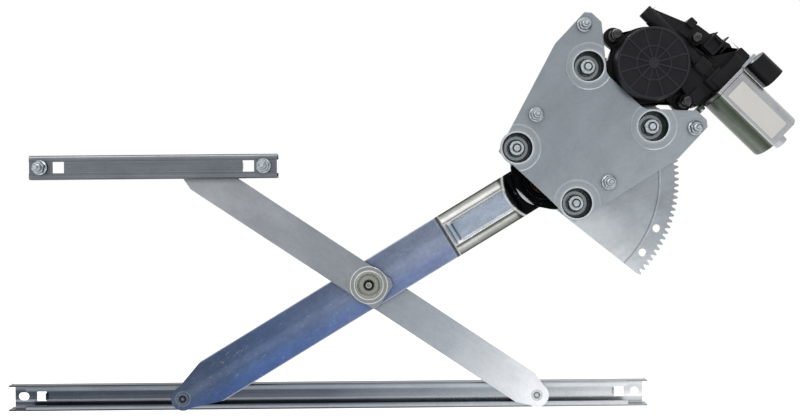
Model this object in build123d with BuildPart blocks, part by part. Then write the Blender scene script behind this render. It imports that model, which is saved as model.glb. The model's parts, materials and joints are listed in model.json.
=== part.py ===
from build123d import *
from math import acos, asin, cos, degrees, radians, sin, tan
import os

# A scissor window regulator for a car door, seen from the side that the nuts are on.
# X runs right along the channels, Z runs up, and Y runs away from the viewer.
# The origin is where the lift arm's pivot axis meets the front face of the mounting plate.
# A height is a distance towards the viewer, so it is minus Y. All sizes are in millimetres.

# Linkage, from pivot to pivot
pivot_to_cross = 182.5
cross_to_lift_roller = 197.5
cross_to_lower_roller = 182.5
cross_to_upper_roller = 193.3
arm_slope = 31.0

# Sheet metal walls and the gaps between the layers, from front to back
plate_wall = 2.0
plate_gap = 12.0
base_wall = 2.0
layer_gap = 0.5
sector_wall = 3.0
lift_wall = 2.5
equalizer_wall = 2.0
channel_wall = 1.4

# Clearances
fixed_fit = 0.05
running_fit = 0.05
screw_fit = 0.1

# Mounting plate and base plate
plate_turn = 46.5
plate_rear = -10.0
plate_rear_half = 46.0
plate_shoulder = (94.0, 74.5)
plate_corner = (132.0, 74.5)
plate_tip = (136.0, 69.5)
plate_notch_mouth = (136.0, 57.5)
plate_notch_side = (107.0, 24.0)
plate_notch_floor = (105.5, 18.6)
plate_corner_round = 1.2
near_dishes = (4.0, 36.0)
far_dishes = (100.0, 39.0)
dish_rim = 13.5
dish_floor = 11.0
dish_ring = 20.5
dish_ring_depth = 0.5
lobe_reach = 21.3
lobe_half = 13.0
base_corner_round = 2.5
base_end_radius = 33.5
base_ear_radius = 7.0

# Fasteners
plate_stud_radius = 4.0
plate_nut_flats = 13.0
plate_nut_flange = 8.0
plate_nut_height = 8.0
door_stud_radius = 3.0
door_nut_flats = 10.0
door_nut_flange = 6.6
door_nut_height = 6.0
door_stud_reach = 12.0
near_studs = (36.6, 43.8)
far_studs = (123.7, 67.0)
stud_head = 5.5
stud_head_height = 1.5
stud_neck_radius = 2.8
stud_neck_end = 6.3
stud_chamfer = 0.9

# Main pivot and counterbalance spring
pivot_radius = 6.0
pivot_nose_radius = 5.0
pivot_head_radius = 8.6
bush_radius = 9.0
bush_flange_radius = 12.0
bush_flange_height = 1.5
ring_radius = 8.6
ring_height = 1.0
spring_start = 8.0
spring_pitch = 2.2
spring_strip = 1.0
spring_width = 7.6
spring_turns = 5
anchor_radius = 2.0

# Gears
gear_module = 1.75
sector_teeth = 140
pinion_teeth = 17
pressure_angle = 20.0
backlash = 0.3
sector_first_tooth = -44.14
sector_tooth_count = 49
sector_hub = 24.0
sector_step = 107.6
sector_step_depth = 0.4
tooling_hole_radius = 3.6
tooling_holes = ((103.6, -45.1), (90.8, -66.8))
rivet_ring = 14.5
rivet_radius = 2.5
rivet_head_radius = 4.2
rivet_head_height = 1.5
back_head_height = 1.3
pinion_width = 4.0
output_shaft_radius = 4.5

# Lift arm
lift_width = 41.4
lift_taper = 31.0
lift_nose = 10.8
trough_start = 27.0
trough_end = 97.0
trough_outer_half = 19.6
trough_crest_outer = 14.6
trough_crest_inner = 10.6
trough_floor_half = 8.5
trough_height = 2.9
trough_end_slope = 4.0

# Equalizer arm
equalizer_width = 31.7
equalizer_tail = 18.5
equalizer_taper = 12.5
equalizer_nose = 11.0
joggle_places = (24.0, 90.0, 149.0)
joggle_heights = (1.0, 1.2, 1.3)
joggle_run = 6.0
boss_radius = 17.0
boss_ring_outer = 12.7
boss_ring_inner = 10.6
boss_rise = 0.6
ring_rise = 1.4
cross_rivet_radius = 5.0
cross_rivet_head = 7.5
cross_head_height = 1.5
cross_pin_tip = 3.8
cross_washer_radius = 14.0
cross_washer_wall = 0.9

# Rollers and their pins
roller_pin_radius = 4.0
roller_shoulder = 5.0
roller_retainer = 5.5
roller_width = 6.4
upper_roller_gap = 0.5
lower_roller_gap = 0.75
lift_roller_gap = 0.35
lift_pin_head = 5.8
lower_pin_head = 4.8
lower_head_height = 0.2

# Fixed channel, web to the front
fixed_left = -455.4
fixed_right = -236.2
fixed_height = 21.5
fixed_depth = 12.0
fixed_slot_half = 6.0
fixed_corner = 2.2
fixed_band_half = 5.0
fixed_band_depth = 0.5
fixed_studs = (-445.5, -248.0)
fixed_windows = (-429.5, -261.4)
fixed_window_side = 10.0

# Glass channel, opening to the front
glass_left = -487.3
glass_right = 97.3
glass_height = 23.5
glass_depth = 12.0
glass_wall = 1.5
glass_slot_half = 6.5
glass_corner = 2.0
glass_lip_left = -470.8
glass_lip_right = 79.0
glass_web_setback = 2.5
glass_slot_at = -476.9
glass_slot_length = 10.0
glass_slot_width = 7.5
glass_windows = (-460.5, 73.1)
glass_window_side = 9.0
glass_hole_at = 87.5
glass_hole_radius = 4.0
tab_width = 6.0
tab_rise = 4.0
tab_wall = 1.2

# Motor and gear housing, measured from the pinion axis
motor_turn = 45.4
ears = ((-3.1, 40.3), (-2.2, -44.0), (43.0, -12.0))
ear_radius = 8.7
ear_height = 7.0
tower_radius = 5.6
tower_height = 19.0
ear_screw_radius = 2.5
ear_screw_head = 4.6
ear_screw_head_height = 7.0
housing_flange_radius = 35.6
housing_flange_height = 6.0
drum_radius = 32.1
drum_front = 6.0
cavity_radius = 28.9
cavity_floor = -8.0
cover_radius = 32.0
cover_front = 12.0
cover_wall = 2.2
cover_rib_count = 12
cover_rib_width = 1.3
cover_rib_depth = 0.8
cover_hub_radius = 4.6
cover_ring_radius = 16.0
worm_height = -1.0
worm_tube_radius = 6.9
worm_bore_radius = 5.7
stub_radius = 6.25
stub_end = -37.0
tube_end = -28.0
yoke_at = 57.0
seat_length = 11.0
seat_offset = 9.9
seat_across = 34.0
seat_height = 24.0
seat_corner = 4.0
seat_round_radius = 11.4
collar_radius = 8.8
collar_span = (27.0, 39.0)
yoke_wall = 3.0
yoke_ears = (((-21.5, -5.0), 18.0), ((25.0, 5.0), 24.0))
yoke_ear_width = 12.0
yoke_hole_radius = 10.0
yoke_screws_at = ((-26.4, -5.0), (32.0, 5.0))
yoke_screw_radius = 2.0
yoke_screw_head = 3.6
yoke_screw_head_height = 2.2
can_length = 64.0
can_radius = 22.2
can_flat = 18.0
can_wall = 1.6
can_boss_radius = 6.0
can_boss_length = 8.0
can_end_bevel = 1.2
wheel_teeth = 60
wheel_module = 0.82
wheel_width = 8.4
worm_radius = 5.3
worm_root = 4.0
worm_pitch = 2.8
worm_clearance = 0.38
armature_shaft_radius = 2.5
armature_core_radius = 15.2
armature_slots = 8
commutator_radius = 8.0
socket_at = (35.8, -1.0)
socket_across = 20.0
socket_corner = 7.5
socket_wall = 1.6
socket_floor = 4.0
socket_arm = 6.0

# Heights of the layers
base_front = -plate_wall - plate_gap
base_back = base_front - base_wall
sector_front = base_back - layer_gap
lift_front = sector_front - sector_wall
lift_back = lift_front - lift_wall
rear_front = lift_back - layer_gap
rear_back = rear_front - equalizer_wall
cross_front_back = lift_front + cross_washer_wall + running_fit
cross_front_front = cross_front_back + equalizer_wall
glass_front = rear_back - cross_head_height - layer_gap
glass_back = glass_front - glass_depth
upper_front = cross_front_front + sum(joggle_heights)
upper_back = upper_front - equalizer_wall


def polar(radius, angle, start=(0.0, 0.0)):
    """The point at a radius and an angle from a start point."""
    return (start[0] + radius * cos(radians(angle)), start[1] + radius * sin(radians(angle)))


def turned_point(point, turn, start=(0.0, 0.0)):
    """A point of a turned frame, in X and Z."""
    along = polar(point[0], turn, start)
    return polar(point[1], turn + 90, along)


def facing(height, turn=0.0, at=(0.0, 0.0)):
    """A plane that faces the viewer at a height, with its x axis turned."""
    return Plane(
        origin=(at[0], -height, at[1]), x_dir=(cos(radians(turn)), 0, sin(radians(turn))), z_dir=(0, -1, 0)
    )


def edge_on(turn, at=(0.0, 0.0)):
    """A plane that holds the turned x axis and the height, seen from the side."""
    return Plane(
        origin=(at[0], 0, at[1]),
        x_dir=(cos(radians(turn)), 0, sin(radians(turn))),
        z_dir=(sin(radians(turn)), 0, -cos(radians(turn))),
    )


def turned_pieces(outline, places):
    """Turns one outline of radius and height points about an axis at each place."""
    with BuildPart() as pieces:
        for at in places:
            with BuildSketch(edge_on(0, at)):
                with BuildLine():
                    Polyline(*outline, close=True)
                make_face()
            revolve(axis=Axis((at[0], 0, at[1]), (0, -1, 0)))
    return pieces.part


def flange_nuts(places, base, bore, flats, flange, height, turn=0.0):
    """Hexagon nuts with a conical flange and chamfered corners, standing on a face at the base height."""
    rim = 1.2
    corner = flats / 2 / cos(radians(30))
    top = base + height
    crown = [(0, base), (corner, base), (corner, top - rim), (0.94 * flats / 2, top), (0, top)]
    with BuildPart() as nuts:
        for at in places:
            with BuildSketch(facing(base, turn, at)):
                RegularPolygon(flats / 2, 6, major_radius=False)
            extrude(amount=height)
        add(turned_pieces(crown, places), mode=Mode.INTERSECT)
        for at in places:
            with BuildSketch(facing(base, turn, at)):
                Circle(flange)
            extrude(amount=rim)
            with BuildSketch(facing(base + rim, turn, at)):
                Circle(flange)
            with BuildSketch(facing(base + 2 * rim, turn, at)):
                Circle(flats / 2)
            loft()
        for at in places:
            with BuildSketch(facing(base, turn, at)):
                Circle(bore)
            extrude(amount=height, mode=Mode.SUBTRACT)
    return nuts.part


def write(part, name):
    """Labels a finished piece and writes it to its own file."""
    part.label = name
    export_step(part, f"parts/{name}.step")


def involute(angle):
    return tan(angle) - angle


def tooth_flank(teeth, module, radii):
    """Half the angle of a tooth at each radius, in degrees, on an involute flank."""
    pitch_radius = module * teeth / 2
    base_radius = pitch_radius * cos(radians(pressure_angle))
    half = (radians(90) - backlash / (2 * module)) / teeth + involute(radians(pressure_angle))
    spread = []
    for radius in radii:
        roll = acos(min(1.0, base_radius / radius))
        spread.append(degrees(half - involute(roll)))
    return spread


def tooth_outline(teeth, module, centres, steps):
    """The points of a row of teeth, one tooth at each centre angle, anticlockwise."""
    root = module * teeth / 2 - 1.25 * module
    tip = module * teeth / 2 + module
    radii = [root + (tip - root) * step / steps for step in range(steps + 1)]
    spread = tooth_flank(teeth, module, radii)
    points = []
    for centre in centres:
        points += [polar(radius, centre - half) for radius, half in zip(radii, spread)]
        points += [polar(radius, centre + half) for radius, half in zip(radii[::-1], spread[::-1])]
    return points


# Places of the pivots, in X and Z
lift_turn = 180 + arm_slope
cross_at = polar(pivot_to_cross, lift_turn)
lift_end = polar(pivot_to_cross + cross_to_lift_roller, lift_turn)
glass_line = lift_end[1]
equalizer_slope = degrees(asin((cross_at[1] - glass_line) / cross_to_lower_roller))
rear_turn = -equalizer_slope
front_turn = 180 - equalizer_slope
lower_end = polar(cross_to_lower_roller, rear_turn, cross_at)
upper_end = polar(cross_to_upper_roller, front_turn, cross_at)
fixed_line = upper_end[1]
pinion_distance = gear_module * (sector_teeth + pinion_teeth) / 2
pinion_at = polar(pinion_distance, plate_turn)
dishes = [turned_point((u, v * side), plate_turn) for u, v in (near_dishes, far_dishes) for side in (1, -1)]
door_studs_at = [
    turned_point((u, v * side), plate_turn) for u, v in (near_studs, far_studs) for side in (1, -1)
]
ears_at = [turned_point(ear, motor_turn, pinion_at) for ear in ears]

os.makedirs("parts", exist_ok=True)

# Mounting plate: a flat plate with a notch for the motor and four cups pressed back to the base plate
half_plate = [
    (plate_rear, plate_rear_half),
    plate_shoulder,
    plate_corner,
    plate_tip,
    plate_notch_mouth,
    plate_notch_side,
    plate_notch_floor,
]
plate_outline = half_plate + [(u, -v) for u, v in reversed(half_plate)]
with BuildPart() as mounting_plate:
    with BuildSketch(facing(-plate_wall, plate_turn)):
        with BuildLine():
            Polyline(*plate_outline, close=True)
        fillet(make_face().vertices(), radius=plate_corner_round)
    extrude(amount=plate_wall)
    for at in dishes:
        with BuildSketch(facing(-dish_ring_depth, at=at)):
            Circle(dish_ring)
        extrude(amount=dish_ring_depth, taper=-45, mode=Mode.SUBTRACT)
        with BuildSketch(facing(-plate_wall, at=at)):
            Circle(dish_rim)
        extrude(amount=plate_wall, mode=Mode.SUBTRACT)
        with BuildSketch(edge_on(0, at)):
            with BuildLine():
                Polyline(
                    (dish_rim, -dish_ring_depth),
                    (dish_floor, base_front + plate_wall),
                    (plate_stud_radius + screw_fit, base_front + plate_wall),
                    (plate_stud_radius + screw_fit, base_front),
                    (dish_floor + 0.9 * plate_wall, base_front),
                    (dish_rim + 0.9 * plate_wall, -plate_wall),
                    (dish_rim + 0.9 * plate_wall, -dish_ring_depth),
                    close=True,
                )
            make_face()
        revolve(axis=Axis((at[0], 0, at[1]), (0, -1, 0)))
    for at in door_studs_at:
        with BuildSketch(facing(-plate_wall, at=at)):
            Circle(door_stud_radius + fixed_fit)
        extrude(amount=plate_wall, mode=Mode.SUBTRACT)
write(mounting_plate.part, "mounting_plate")

# Base plate: behind the mounting plate, with a lobe round the pivot and a round end under the motor
base_half = [
    (-lobe_reach, lobe_half),
    (-14.0, 24.5),
    (-8.0, 32.0),
    (-7.5, 42.0),
    (92.0, 57.0),
    (112.0, 54.0),
    (118.0, 38.0),
]
with BuildPart() as base_plate:
    with BuildSketch(facing(base_back, plate_turn)):
        with BuildLine():
            Polyline(*base_half, *[(u, -v) for u, v in reversed(base_half)], close=True)
        fillet(make_face().vertices(), radius=base_corner_round)
        with Locations((pinion_distance, 0)):
            Circle(base_end_radius)
        for u, v in [turned_point(ear, motor_turn - plate_turn, (pinion_distance, 0)) for ear in ears]:
            SlotCenterPoint(((u + pinion_distance) / 2, v / 2), (u, v), 2 * base_ear_radius)
    extrude(amount=base_wall)
    for at in dishes:
        with BuildSketch(facing(base_back, at=at)):
            Circle(plate_stud_radius + fixed_fit)
        extrude(amount=base_wall, mode=Mode.SUBTRACT)
        with BuildSketch(facing(base_back, at=at)):
            Circle(stud_head + fixed_fit)
        extrude(amount=base_wall / 2, mode=Mode.SUBTRACT)
    for at, radius in [((0, 0), bush_radius + fixed_fit), (pinion_at, 2 * output_shaft_radius)]:
        with BuildSketch(facing(base_back, at=at)):
            Circle(radius)
        extrude(amount=base_wall, mode=Mode.SUBTRACT)
    for at in ears_at:
        with BuildSketch(facing(base_back, at=at)):
            Circle(ear_screw_radius + screw_fit)
        extrude(amount=base_wall, mode=Mode.SUBTRACT)
write(base_plate.part, "base_plate")

# Studs pressed into the base plate, flush at the back, and their nuts in the dishes
stud_top = base_front + plate_wall + plate_nut_height + 1.5
plate_studs = turned_pieces(
    [
        (0, base_back),
        (stud_head, base_back),
        (stud_head, base_back + base_wall / 2),
        (plate_stud_radius, base_back + base_wall / 2),
        (plate_stud_radius, stud_top - 1),
        (plate_stud_radius - 1, stud_top),
        (0, stud_top),
    ],
    dishes,
)
write(plate_studs, "plate_studs")
write(
    flange_nuts(
        dishes,
        base_front + plate_wall,
        plate_stud_radius + screw_fit,
        plate_nut_flats,
        plate_nut_flange,
        plate_nut_height,
        plate_turn,
    ),
    "plate_nuts",
)

# Studs that fasten the mounting plate to the door: a neck in the nut, then the full thread
stud_point = [
    (stud_neck_radius, stud_neck_end),
    (door_stud_radius, stud_neck_end),
    (door_stud_radius, door_stud_reach - stud_chamfer),
    (door_stud_radius - stud_chamfer, door_stud_reach),
    (0, door_stud_reach),
]
door_studs = turned_pieces(
    [
        (0, -plate_wall - stud_head_height),
        (stud_head, -plate_wall - stud_head_height),
        (stud_head, -plate_wall),
        (stud_neck_radius, -plate_wall),
        *stud_point,
    ],
    door_studs_at,
)
write(door_studs, "door_studs")
write(
    flange_nuts(
        door_studs_at, 0, door_stud_radius + screw_fit, door_nut_flats, door_nut_flange, door_nut_height, plate_turn
    ),
    "door_stud_nuts",
)

# Pivot bush in the base plate, and the pin that turns in it with the lift arm
bush_front = base_front + bush_flange_height
ring_back = bush_front + running_fit * 4
ring_front = ring_back + ring_height
pivot_bush = turned_pieces(
    [
        (pivot_radius + running_fit, base_back),
        (bush_radius, base_back),
        (bush_radius, base_front),
        (bush_flange_radius, base_front),
        (bush_flange_radius, bush_front),
        (pivot_radius + running_fit, bush_front),
    ],
    [(0, 0)],
)
write(pivot_bush, "pivot_bush")
spring_front = -plate_wall - 1.2
spring_back = spring_front - spring_width
main_pivot_pin = turned_pieces(
    [
        (0, lift_back),
        (pivot_head_radius, lift_back),
        (pivot_head_radius, lift_back + back_head_height),
        (pivot_radius, lift_back + back_head_height),
        (pivot_radius, ring_front),
        (pivot_nose_radius, ring_front),
        (pivot_nose_radius, spring_front - 0.5),
        (0, spring_front - 0.5),
    ],
    [(0, 0)],
)
write(main_pivot_pin, "main_pivot_pin")
pivot_retaining_ring = turned_pieces(
    [
        (pivot_radius + fixed_fit, ring_back),
        (ring_radius, ring_back),
        (ring_radius, ring_front),
        (pivot_radius + fixed_fit, ring_front),
    ],
    [(0, 0)],
)
write(pivot_retaining_ring, "pivot_retaining_ring")

# Counterbalance spring: a flat strip wound in half-turn arcs, hooked on a post of the base plate
half_turns = 2 * spring_turns
spring_end = spring_start + spring_turns * spring_pitch
hook_rise = 4.0
hook_reach = 5.3
with BuildPart() as counterbalance_spring:
    with BuildSketch(facing(spring_back, plate_turn)):
        with BuildLine():
            for side in (0, spring_strip):
                for turn_index in range(half_turns):
                    centre = (0.0, 0.0) if turn_index % 2 == 0 else (spring_pitch / 2, 0.0)
                    radius = spring_start + turn_index * spring_pitch / 2 + side
                    CenterArc(centre, radius, 180 * (turn_index % 2), 180)
            Polyline(
                (spring_end, 0),
                (spring_end, hook_rise),
                (spring_end + hook_reach, hook_rise),
                (spring_end + hook_reach, hook_rise - spring_strip),
                (spring_end + spring_strip, hook_rise - spring_strip),
                (spring_end + spring_strip, 0),
            )
            Polyline(
                (spring_start, 0),
                (spring_start, -spring_strip),
                (pivot_nose_radius + 0.6, -spring_strip),
                (pivot_nose_radius + 0.6, -2 * spring_strip),
                (spring_start + spring_strip, -2 * spring_strip),
                (spring_start + spring_strip, 0),
            )
        make_face()
    extrude(amount=spring_width)
write(counterbalance_spring.part, "counterbalance_spring")
anchor_at = turned_point(
    (spring_end + spring_strip + anchor_radius + 0.3, hook_rise - spring_strip - anchor_radius - 0.3), plate_turn
)
write(
    turned_pieces(
        [
            (0, base_front),
            (anchor_radius + 1, base_front),
            (anchor_radius + 1, base_front + 1.5),
            (anchor_radius, base_front + 1.5),
            (anchor_radius, spring_front),
            (0, spring_front),
        ],
        [anchor_at],
    ),
    "spring_anchor",
)

# Sector gear: a fan of teeth on a hub, with a step line inside the teeth
tooth_pitch = 360 / sector_teeth
sector_centres = [sector_first_tooth + tooth_pitch * index for index in range(sector_tooth_count)]
sector_tip = gear_module * sector_teeth / 2 + gear_module
rivets_at = [polar(rivet_ring, lift_turn + angle) for angle in (60, 180, 300)]
with BuildPart() as sector_gear:
    with BuildSketch(facing(lift_front)):
        with BuildLine():
            teeth = tooth_outline(sector_teeth, gear_module, sector_centres, 2)
            Polyline(*teeth, (-4, 20), (4.2, -20.2), close=True)
        make_face()
        Circle(sector_hub)
        Circle(pivot_radius + fixed_fit, mode=Mode.SUBTRACT)
        with Locations(*tooling_holes):
            Circle(tooling_hole_radius, mode=Mode.SUBTRACT)
        with Locations(*rivets_at):
            Circle(rivet_radius + fixed_fit, mode=Mode.SUBTRACT)
    extrude(amount=sector_wall)
    with BuildSketch(facing(sector_front - sector_step_depth)):
        Circle(sector_tip + 5)
        Circle(sector_step, mode=Mode.SUBTRACT)
    extrude(amount=sector_step_depth, mode=Mode.SUBTRACT)
    for at in rivets_at:
        with BuildSketch(facing(sector_front - rivet_head_height, at=at)):
            Circle(rivet_head_radius + fixed_fit)
        extrude(amount=rivet_head_height, mode=Mode.SUBTRACT)
write(sector_gear.part, "sector_gear")
write(
    turned_pieces(
        [
            (0, lift_back),
            (rivet_head_radius, lift_back),
            (rivet_head_radius, lift_back + back_head_height),
            (rivet_radius, lift_back + back_head_height),
            (rivet_radius, sector_front - rivet_head_height),
            (rivet_head_radius, sector_front - rivet_head_height),
            (rivet_head_radius, sector_front),
            (0, sector_front),
        ],
        rivets_at,
    ),
    "sector_rivets",
)


def pressed_frame(base, inset):
    """The raised frame round the trough floor, standing on a base height, with its walls moved in."""
    outer_low = trough_outer_half - inset
    outer_high = trough_crest_outer - inset * 0.7
    inner_high = trough_crest_inner + inset * 0.7
    inner_low = trough_floor_half + inset
    middle = (trough_start + trough_end) / 2
    length = trough_end - trough_start - 2 * inset
    with BuildPart() as frame:
        for low, high, mode in ((outer_low, outer_high, Mode.ADD), (inner_low, inner_high, Mode.SUBTRACT)):
            if mode == Mode.ADD:
                low_length = length
                high_length = length - 2 * trough_end_slope
            else:
                low_length = length - 4 * trough_end_slope + 4 * inset
                high_length = length - 3 * trough_end_slope + 2 * inset
            with BuildSketch(facing(base, lift_turn)):
                with Locations((middle, 0)):
                    RectangleRounded(low_length, 2 * low, 2.0)
            with BuildSketch(facing(base + trough_height, lift_turn)):
                with Locations((middle, 0)):
                    RectangleRounded(high_length, 2 * high, 2.0)
            loft(mode=mode)
    return frame.part


# Lift arm: a wide strip with a round pivot end, a pressed trough and a tapered nose.
# The heads of its pivot pin and rivets are let into its back, where the equalizer arm passes.
lift_length = pivot_to_cross + cross_to_lift_roller
trough_front = pressed_frame(lift_front, 0.0)
trough_back = pressed_frame(lift_back, 1.3)
with BuildPart() as lift_arm:
    with BuildSketch(facing(lift_back, lift_turn)):
        with BuildLine():
            Polyline(
                (0, -lift_width / 2),
                (lift_length - lift_taper, -lift_width / 2),
                (lift_length - 2, -lift_nose),
                (lift_length - 2, lift_nose),
                (lift_length - lift_taper, lift_width / 2),
                (0, lift_width / 2),
                close=True,
            )
        make_face()
        Circle(lift_width / 2)
        with Locations((lift_length, 0)):
            Circle(lift_nose)
            Circle(roller_pin_radius + fixed_fit, mode=Mode.SUBTRACT)
        with Locations((pivot_to_cross, 0)):
            Circle(cross_rivet_radius + running_fit, mode=Mode.SUBTRACT)
        Circle(pivot_radius + fixed_fit, mode=Mode.SUBTRACT)
        with PolarLocations(rivet_ring, 3, start_angle=60):
            Circle(rivet_radius + fixed_fit, mode=Mode.SUBTRACT)
    extrude(amount=lift_wall)
    add(trough_front)
    add(trough_back, mode=Mode.SUBTRACT)
    with BuildSketch(facing(lift_back)):
        Circle(pivot_head_radius + fixed_fit)
        with Locations(*rivets_at):
            Circle(rivet_head_radius + fixed_fit)
    extrude(amount=back_head_height, mode=Mode.SUBTRACT)
write(lift_arm.part, "lift_arm")

# Equalizer arm, front half: joggled forward in steps from the crossing to the fixed channel
joggle_line = [(-equalizer_tail, cross_front_front), (joggle_places[0], cross_front_front)]
height = cross_front_front
for place, rise in zip(joggle_places, joggle_heights):
    if joggle_line[-1][0] < place:
        joggle_line.append((place, height))
    height += rise
    joggle_line.append((place + joggle_run, height))
joggle_line.append((cross_to_upper_roller + equalizer_nose, height))
joggle_section = joggle_line + [(x, h - equalizer_wall) for x, h in reversed(joggle_line)]
with BuildPart() as equalizer_front_arm:
    with BuildSketch(edge_on(front_turn, cross_at)):
        with BuildLine():
            Polyline(*joggle_section, close=True)
        make_face()
    extrude(amount=boss_radius, both=True)
    with BuildSketch(facing(2 * lift_back, front_turn, cross_at)):
        with BuildLine():
            Polyline(
                (-equalizer_tail, -equalizer_width / 2 + 4),
                (-equalizer_tail + 5, -equalizer_width / 2),
                (cross_to_upper_roller - equalizer_taper, -equalizer_width / 2),
                (cross_to_upper_roller, -equalizer_nose),
                (cross_to_upper_roller, equalizer_nose),
                (cross_to_upper_roller - equalizer_taper, equalizer_width / 2),
                (-equalizer_tail + 5, equalizer_width / 2),
                (-equalizer_tail, equalizer_width / 2 - 4),
                close=True,
            )
        make_face()
        Circle(boss_radius)
        with Locations((cross_to_upper_roller, 0)):
            Circle(equalizer_nose)
            Circle(roller_pin_radius + fixed_fit, mode=Mode.SUBTRACT)
        Circle(cross_rivet_radius + fixed_fit, mode=Mode.SUBTRACT)
    extrude(amount=-2 * lift_back, mode=Mode.INTERSECT)
    with BuildSketch(edge_on(0, cross_at)):
        with BuildLine():
            Polyline(
                (boss_ring_inner - 3, cross_front_front - 0.2),
                (boss_radius, cross_front_front - 0.2),
                (boss_radius, cross_front_front),
                (boss_radius - 1, cross_front_front + boss_rise),
                (boss_ring_outer, cross_front_front + boss_rise),
                (boss_ring_outer - 0.6, cross_front_front + ring_rise),
                (boss_ring_inner, cross_front_front + ring_rise),
                (boss_ring_inner - 1, cross_front_front),
                (boss_ring_inner - 3, cross_front_front),
                close=True,
            )
        make_face()
    revolve(axis=Axis((cross_at[0], 0, cross_at[1]), (0, -1, 0)))
write(equalizer_front_arm.part, "equalizer_front_arm")

# Equalizer arm, rear half: a flat strip behind the lift arm, tapered at the glass channel
with BuildPart() as equalizer_rear_arm:
    with BuildSketch(facing(rear_back, rear_turn, cross_at)):
        with BuildLine():
            Polyline(
                (0, -equalizer_width / 2),
                (cross_to_lower_roller - equalizer_taper, -equalizer_width / 2),
                (cross_to_lower_roller, -equalizer_nose),
                (cross_to_lower_roller, equalizer_nose),
                (cross_to_lower_roller - equalizer_taper, equalizer_width / 2),
                (0, equalizer_width / 2),
                close=True,
            )
        make_face()
        Circle(equalizer_width / 2)
        with Locations((cross_to_lower_roller, 0)):
            Circle(equalizer_nose)
            Circle(roller_pin_radius + fixed_fit, mode=Mode.SUBTRACT)
        Circle(cross_rivet_radius + fixed_fit, mode=Mode.SUBTRACT)
    extrude(amount=equalizer_wall)
write(equalizer_rear_arm.part, "equalizer_rear_arm")

# Centre rivet that holds both halves and turns in the lift arm, and the washer under the front half
head_front = cross_front_front + 2.0
write(
    turned_pieces(
        [
            (0, rear_back - cross_head_height),
            (cross_rivet_head - 1, rear_back - cross_head_height),
            (cross_rivet_head, rear_back - cross_head_height + 0.8),
            (cross_rivet_head, rear_back),
            (cross_rivet_radius, rear_back),
            (cross_rivet_radius, cross_front_front + 0.4),
            (cross_pin_tip, cross_front_front + 0.4),
            (cross_pin_tip, head_front - 0.8),
            (cross_pin_tip - 0.8, head_front),
            (1.4, head_front),
            (1.0, head_front - 1.2),
            (0, head_front - 1.2),
        ],
        [cross_at],
    ),
    "centre_pivot_rivet",
)
write(
    turned_pieces(
        [
            (cross_rivet_radius + fixed_fit, cross_front_back - cross_washer_wall),
            (cross_washer_radius, cross_front_back - cross_washer_wall),
            (cross_washer_radius, cross_front_back),
            (cross_rivet_radius + fixed_fit, cross_front_back),
        ],
        [cross_at],
    ),
    "centre_washer",
)


def roller_pin(head_radius, head_top, arm_top, arm_bottom, roller_near, roller_far, at):
    """A shouldered pin from an arm to its roller; the order of the heights sets which way it points."""
    way = 1 if roller_far > roller_near else -1
    tip = roller_far + way * 1.0
    bevel = min(0.6, abs(head_top - arm_top) / 2)
    return turned_pieces(
        [
            (0, head_top),
            (head_radius - bevel, head_top),
            (head_radius, head_top + way * bevel),
            (head_radius, arm_top),
            (roller_pin_radius, arm_top),
            (roller_pin_radius, arm_bottom),
            (roller_shoulder, arm_bottom),
            (roller_shoulder, roller_near - way * 0.1),
            (roller_pin_radius, roller_near - way * 0.1),
            (roller_pin_radius, roller_far + way * 0.1),
            (roller_retainer, roller_far + way * 0.1),
            (roller_retainer, tip),
            (0, tip),
        ],
        [at],
    )


def roller(radius, near, far, at):
    """A plastic roller with a slight crown and a bore that runs on its pin."""
    middle = (near + far) / 2
    bevel = 0.8
    way = 1 if far > near else -1
    return turned_pieces(
        [
            (roller_pin_radius + running_fit, near),
            (radius - bevel, near),
            (radius, near + way * bevel),
            (radius, middle),
            (radius, far - way * bevel),
            (radius - bevel, far),
            (roller_pin_radius + running_fit, far),
        ],
        [at],
    )


# Rollers and pins of the two arms
glass_roller_near = glass_front - glass_wall - 1.0
glass_roller_far = glass_roller_near - roller_width
fixed_roller_near = -fixed_depth + channel_wall + 1.0
fixed_roller_far = fixed_roller_near + roller_width
upper_roller_radius = fixed_height / 2 - channel_wall - upper_roller_gap
lower_roller_radius = glass_height / 2 - glass_wall - lower_roller_gap
lift_roller_radius = glass_height / 2 - glass_wall - lift_roller_gap
write(
    roller_pin(
        lift_pin_head, lift_front + 1, lift_front, lift_back, glass_roller_near, glass_roller_far, lift_end
    ),
    "lift_roller_pin",
)
write(
    roller_pin(
        lower_pin_head,
        rear_front + lower_head_height,
        rear_front,
        rear_back,
        glass_roller_near,
        glass_roller_far,
        lower_end,
    ),
    "lower_roller_pin",
)
write(
    roller_pin(
        lift_pin_head, upper_back - 1.2, upper_back, upper_front, fixed_roller_near, fixed_roller_far, upper_end
    ),
    "upper_roller_pin",
)
write(roller(lift_roller_radius, glass_roller_near, glass_roller_far, lift_end), "lift_roller")
write(roller(lower_roller_radius, glass_roller_near, glass_roller_far, lower_end), "lower_roller")
write(roller(upper_roller_radius, fixed_roller_near, fixed_roller_far, upper_end), "upper_roller")


def side_section(x, line, web_height, way):
    """A plane across a channel at x: its x axis is the depth from the web, its y axis is up."""
    return Plane(origin=(x, -web_height, line), x_dir=(0, way, 0), z_dir=(way, 0, 0))


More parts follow.
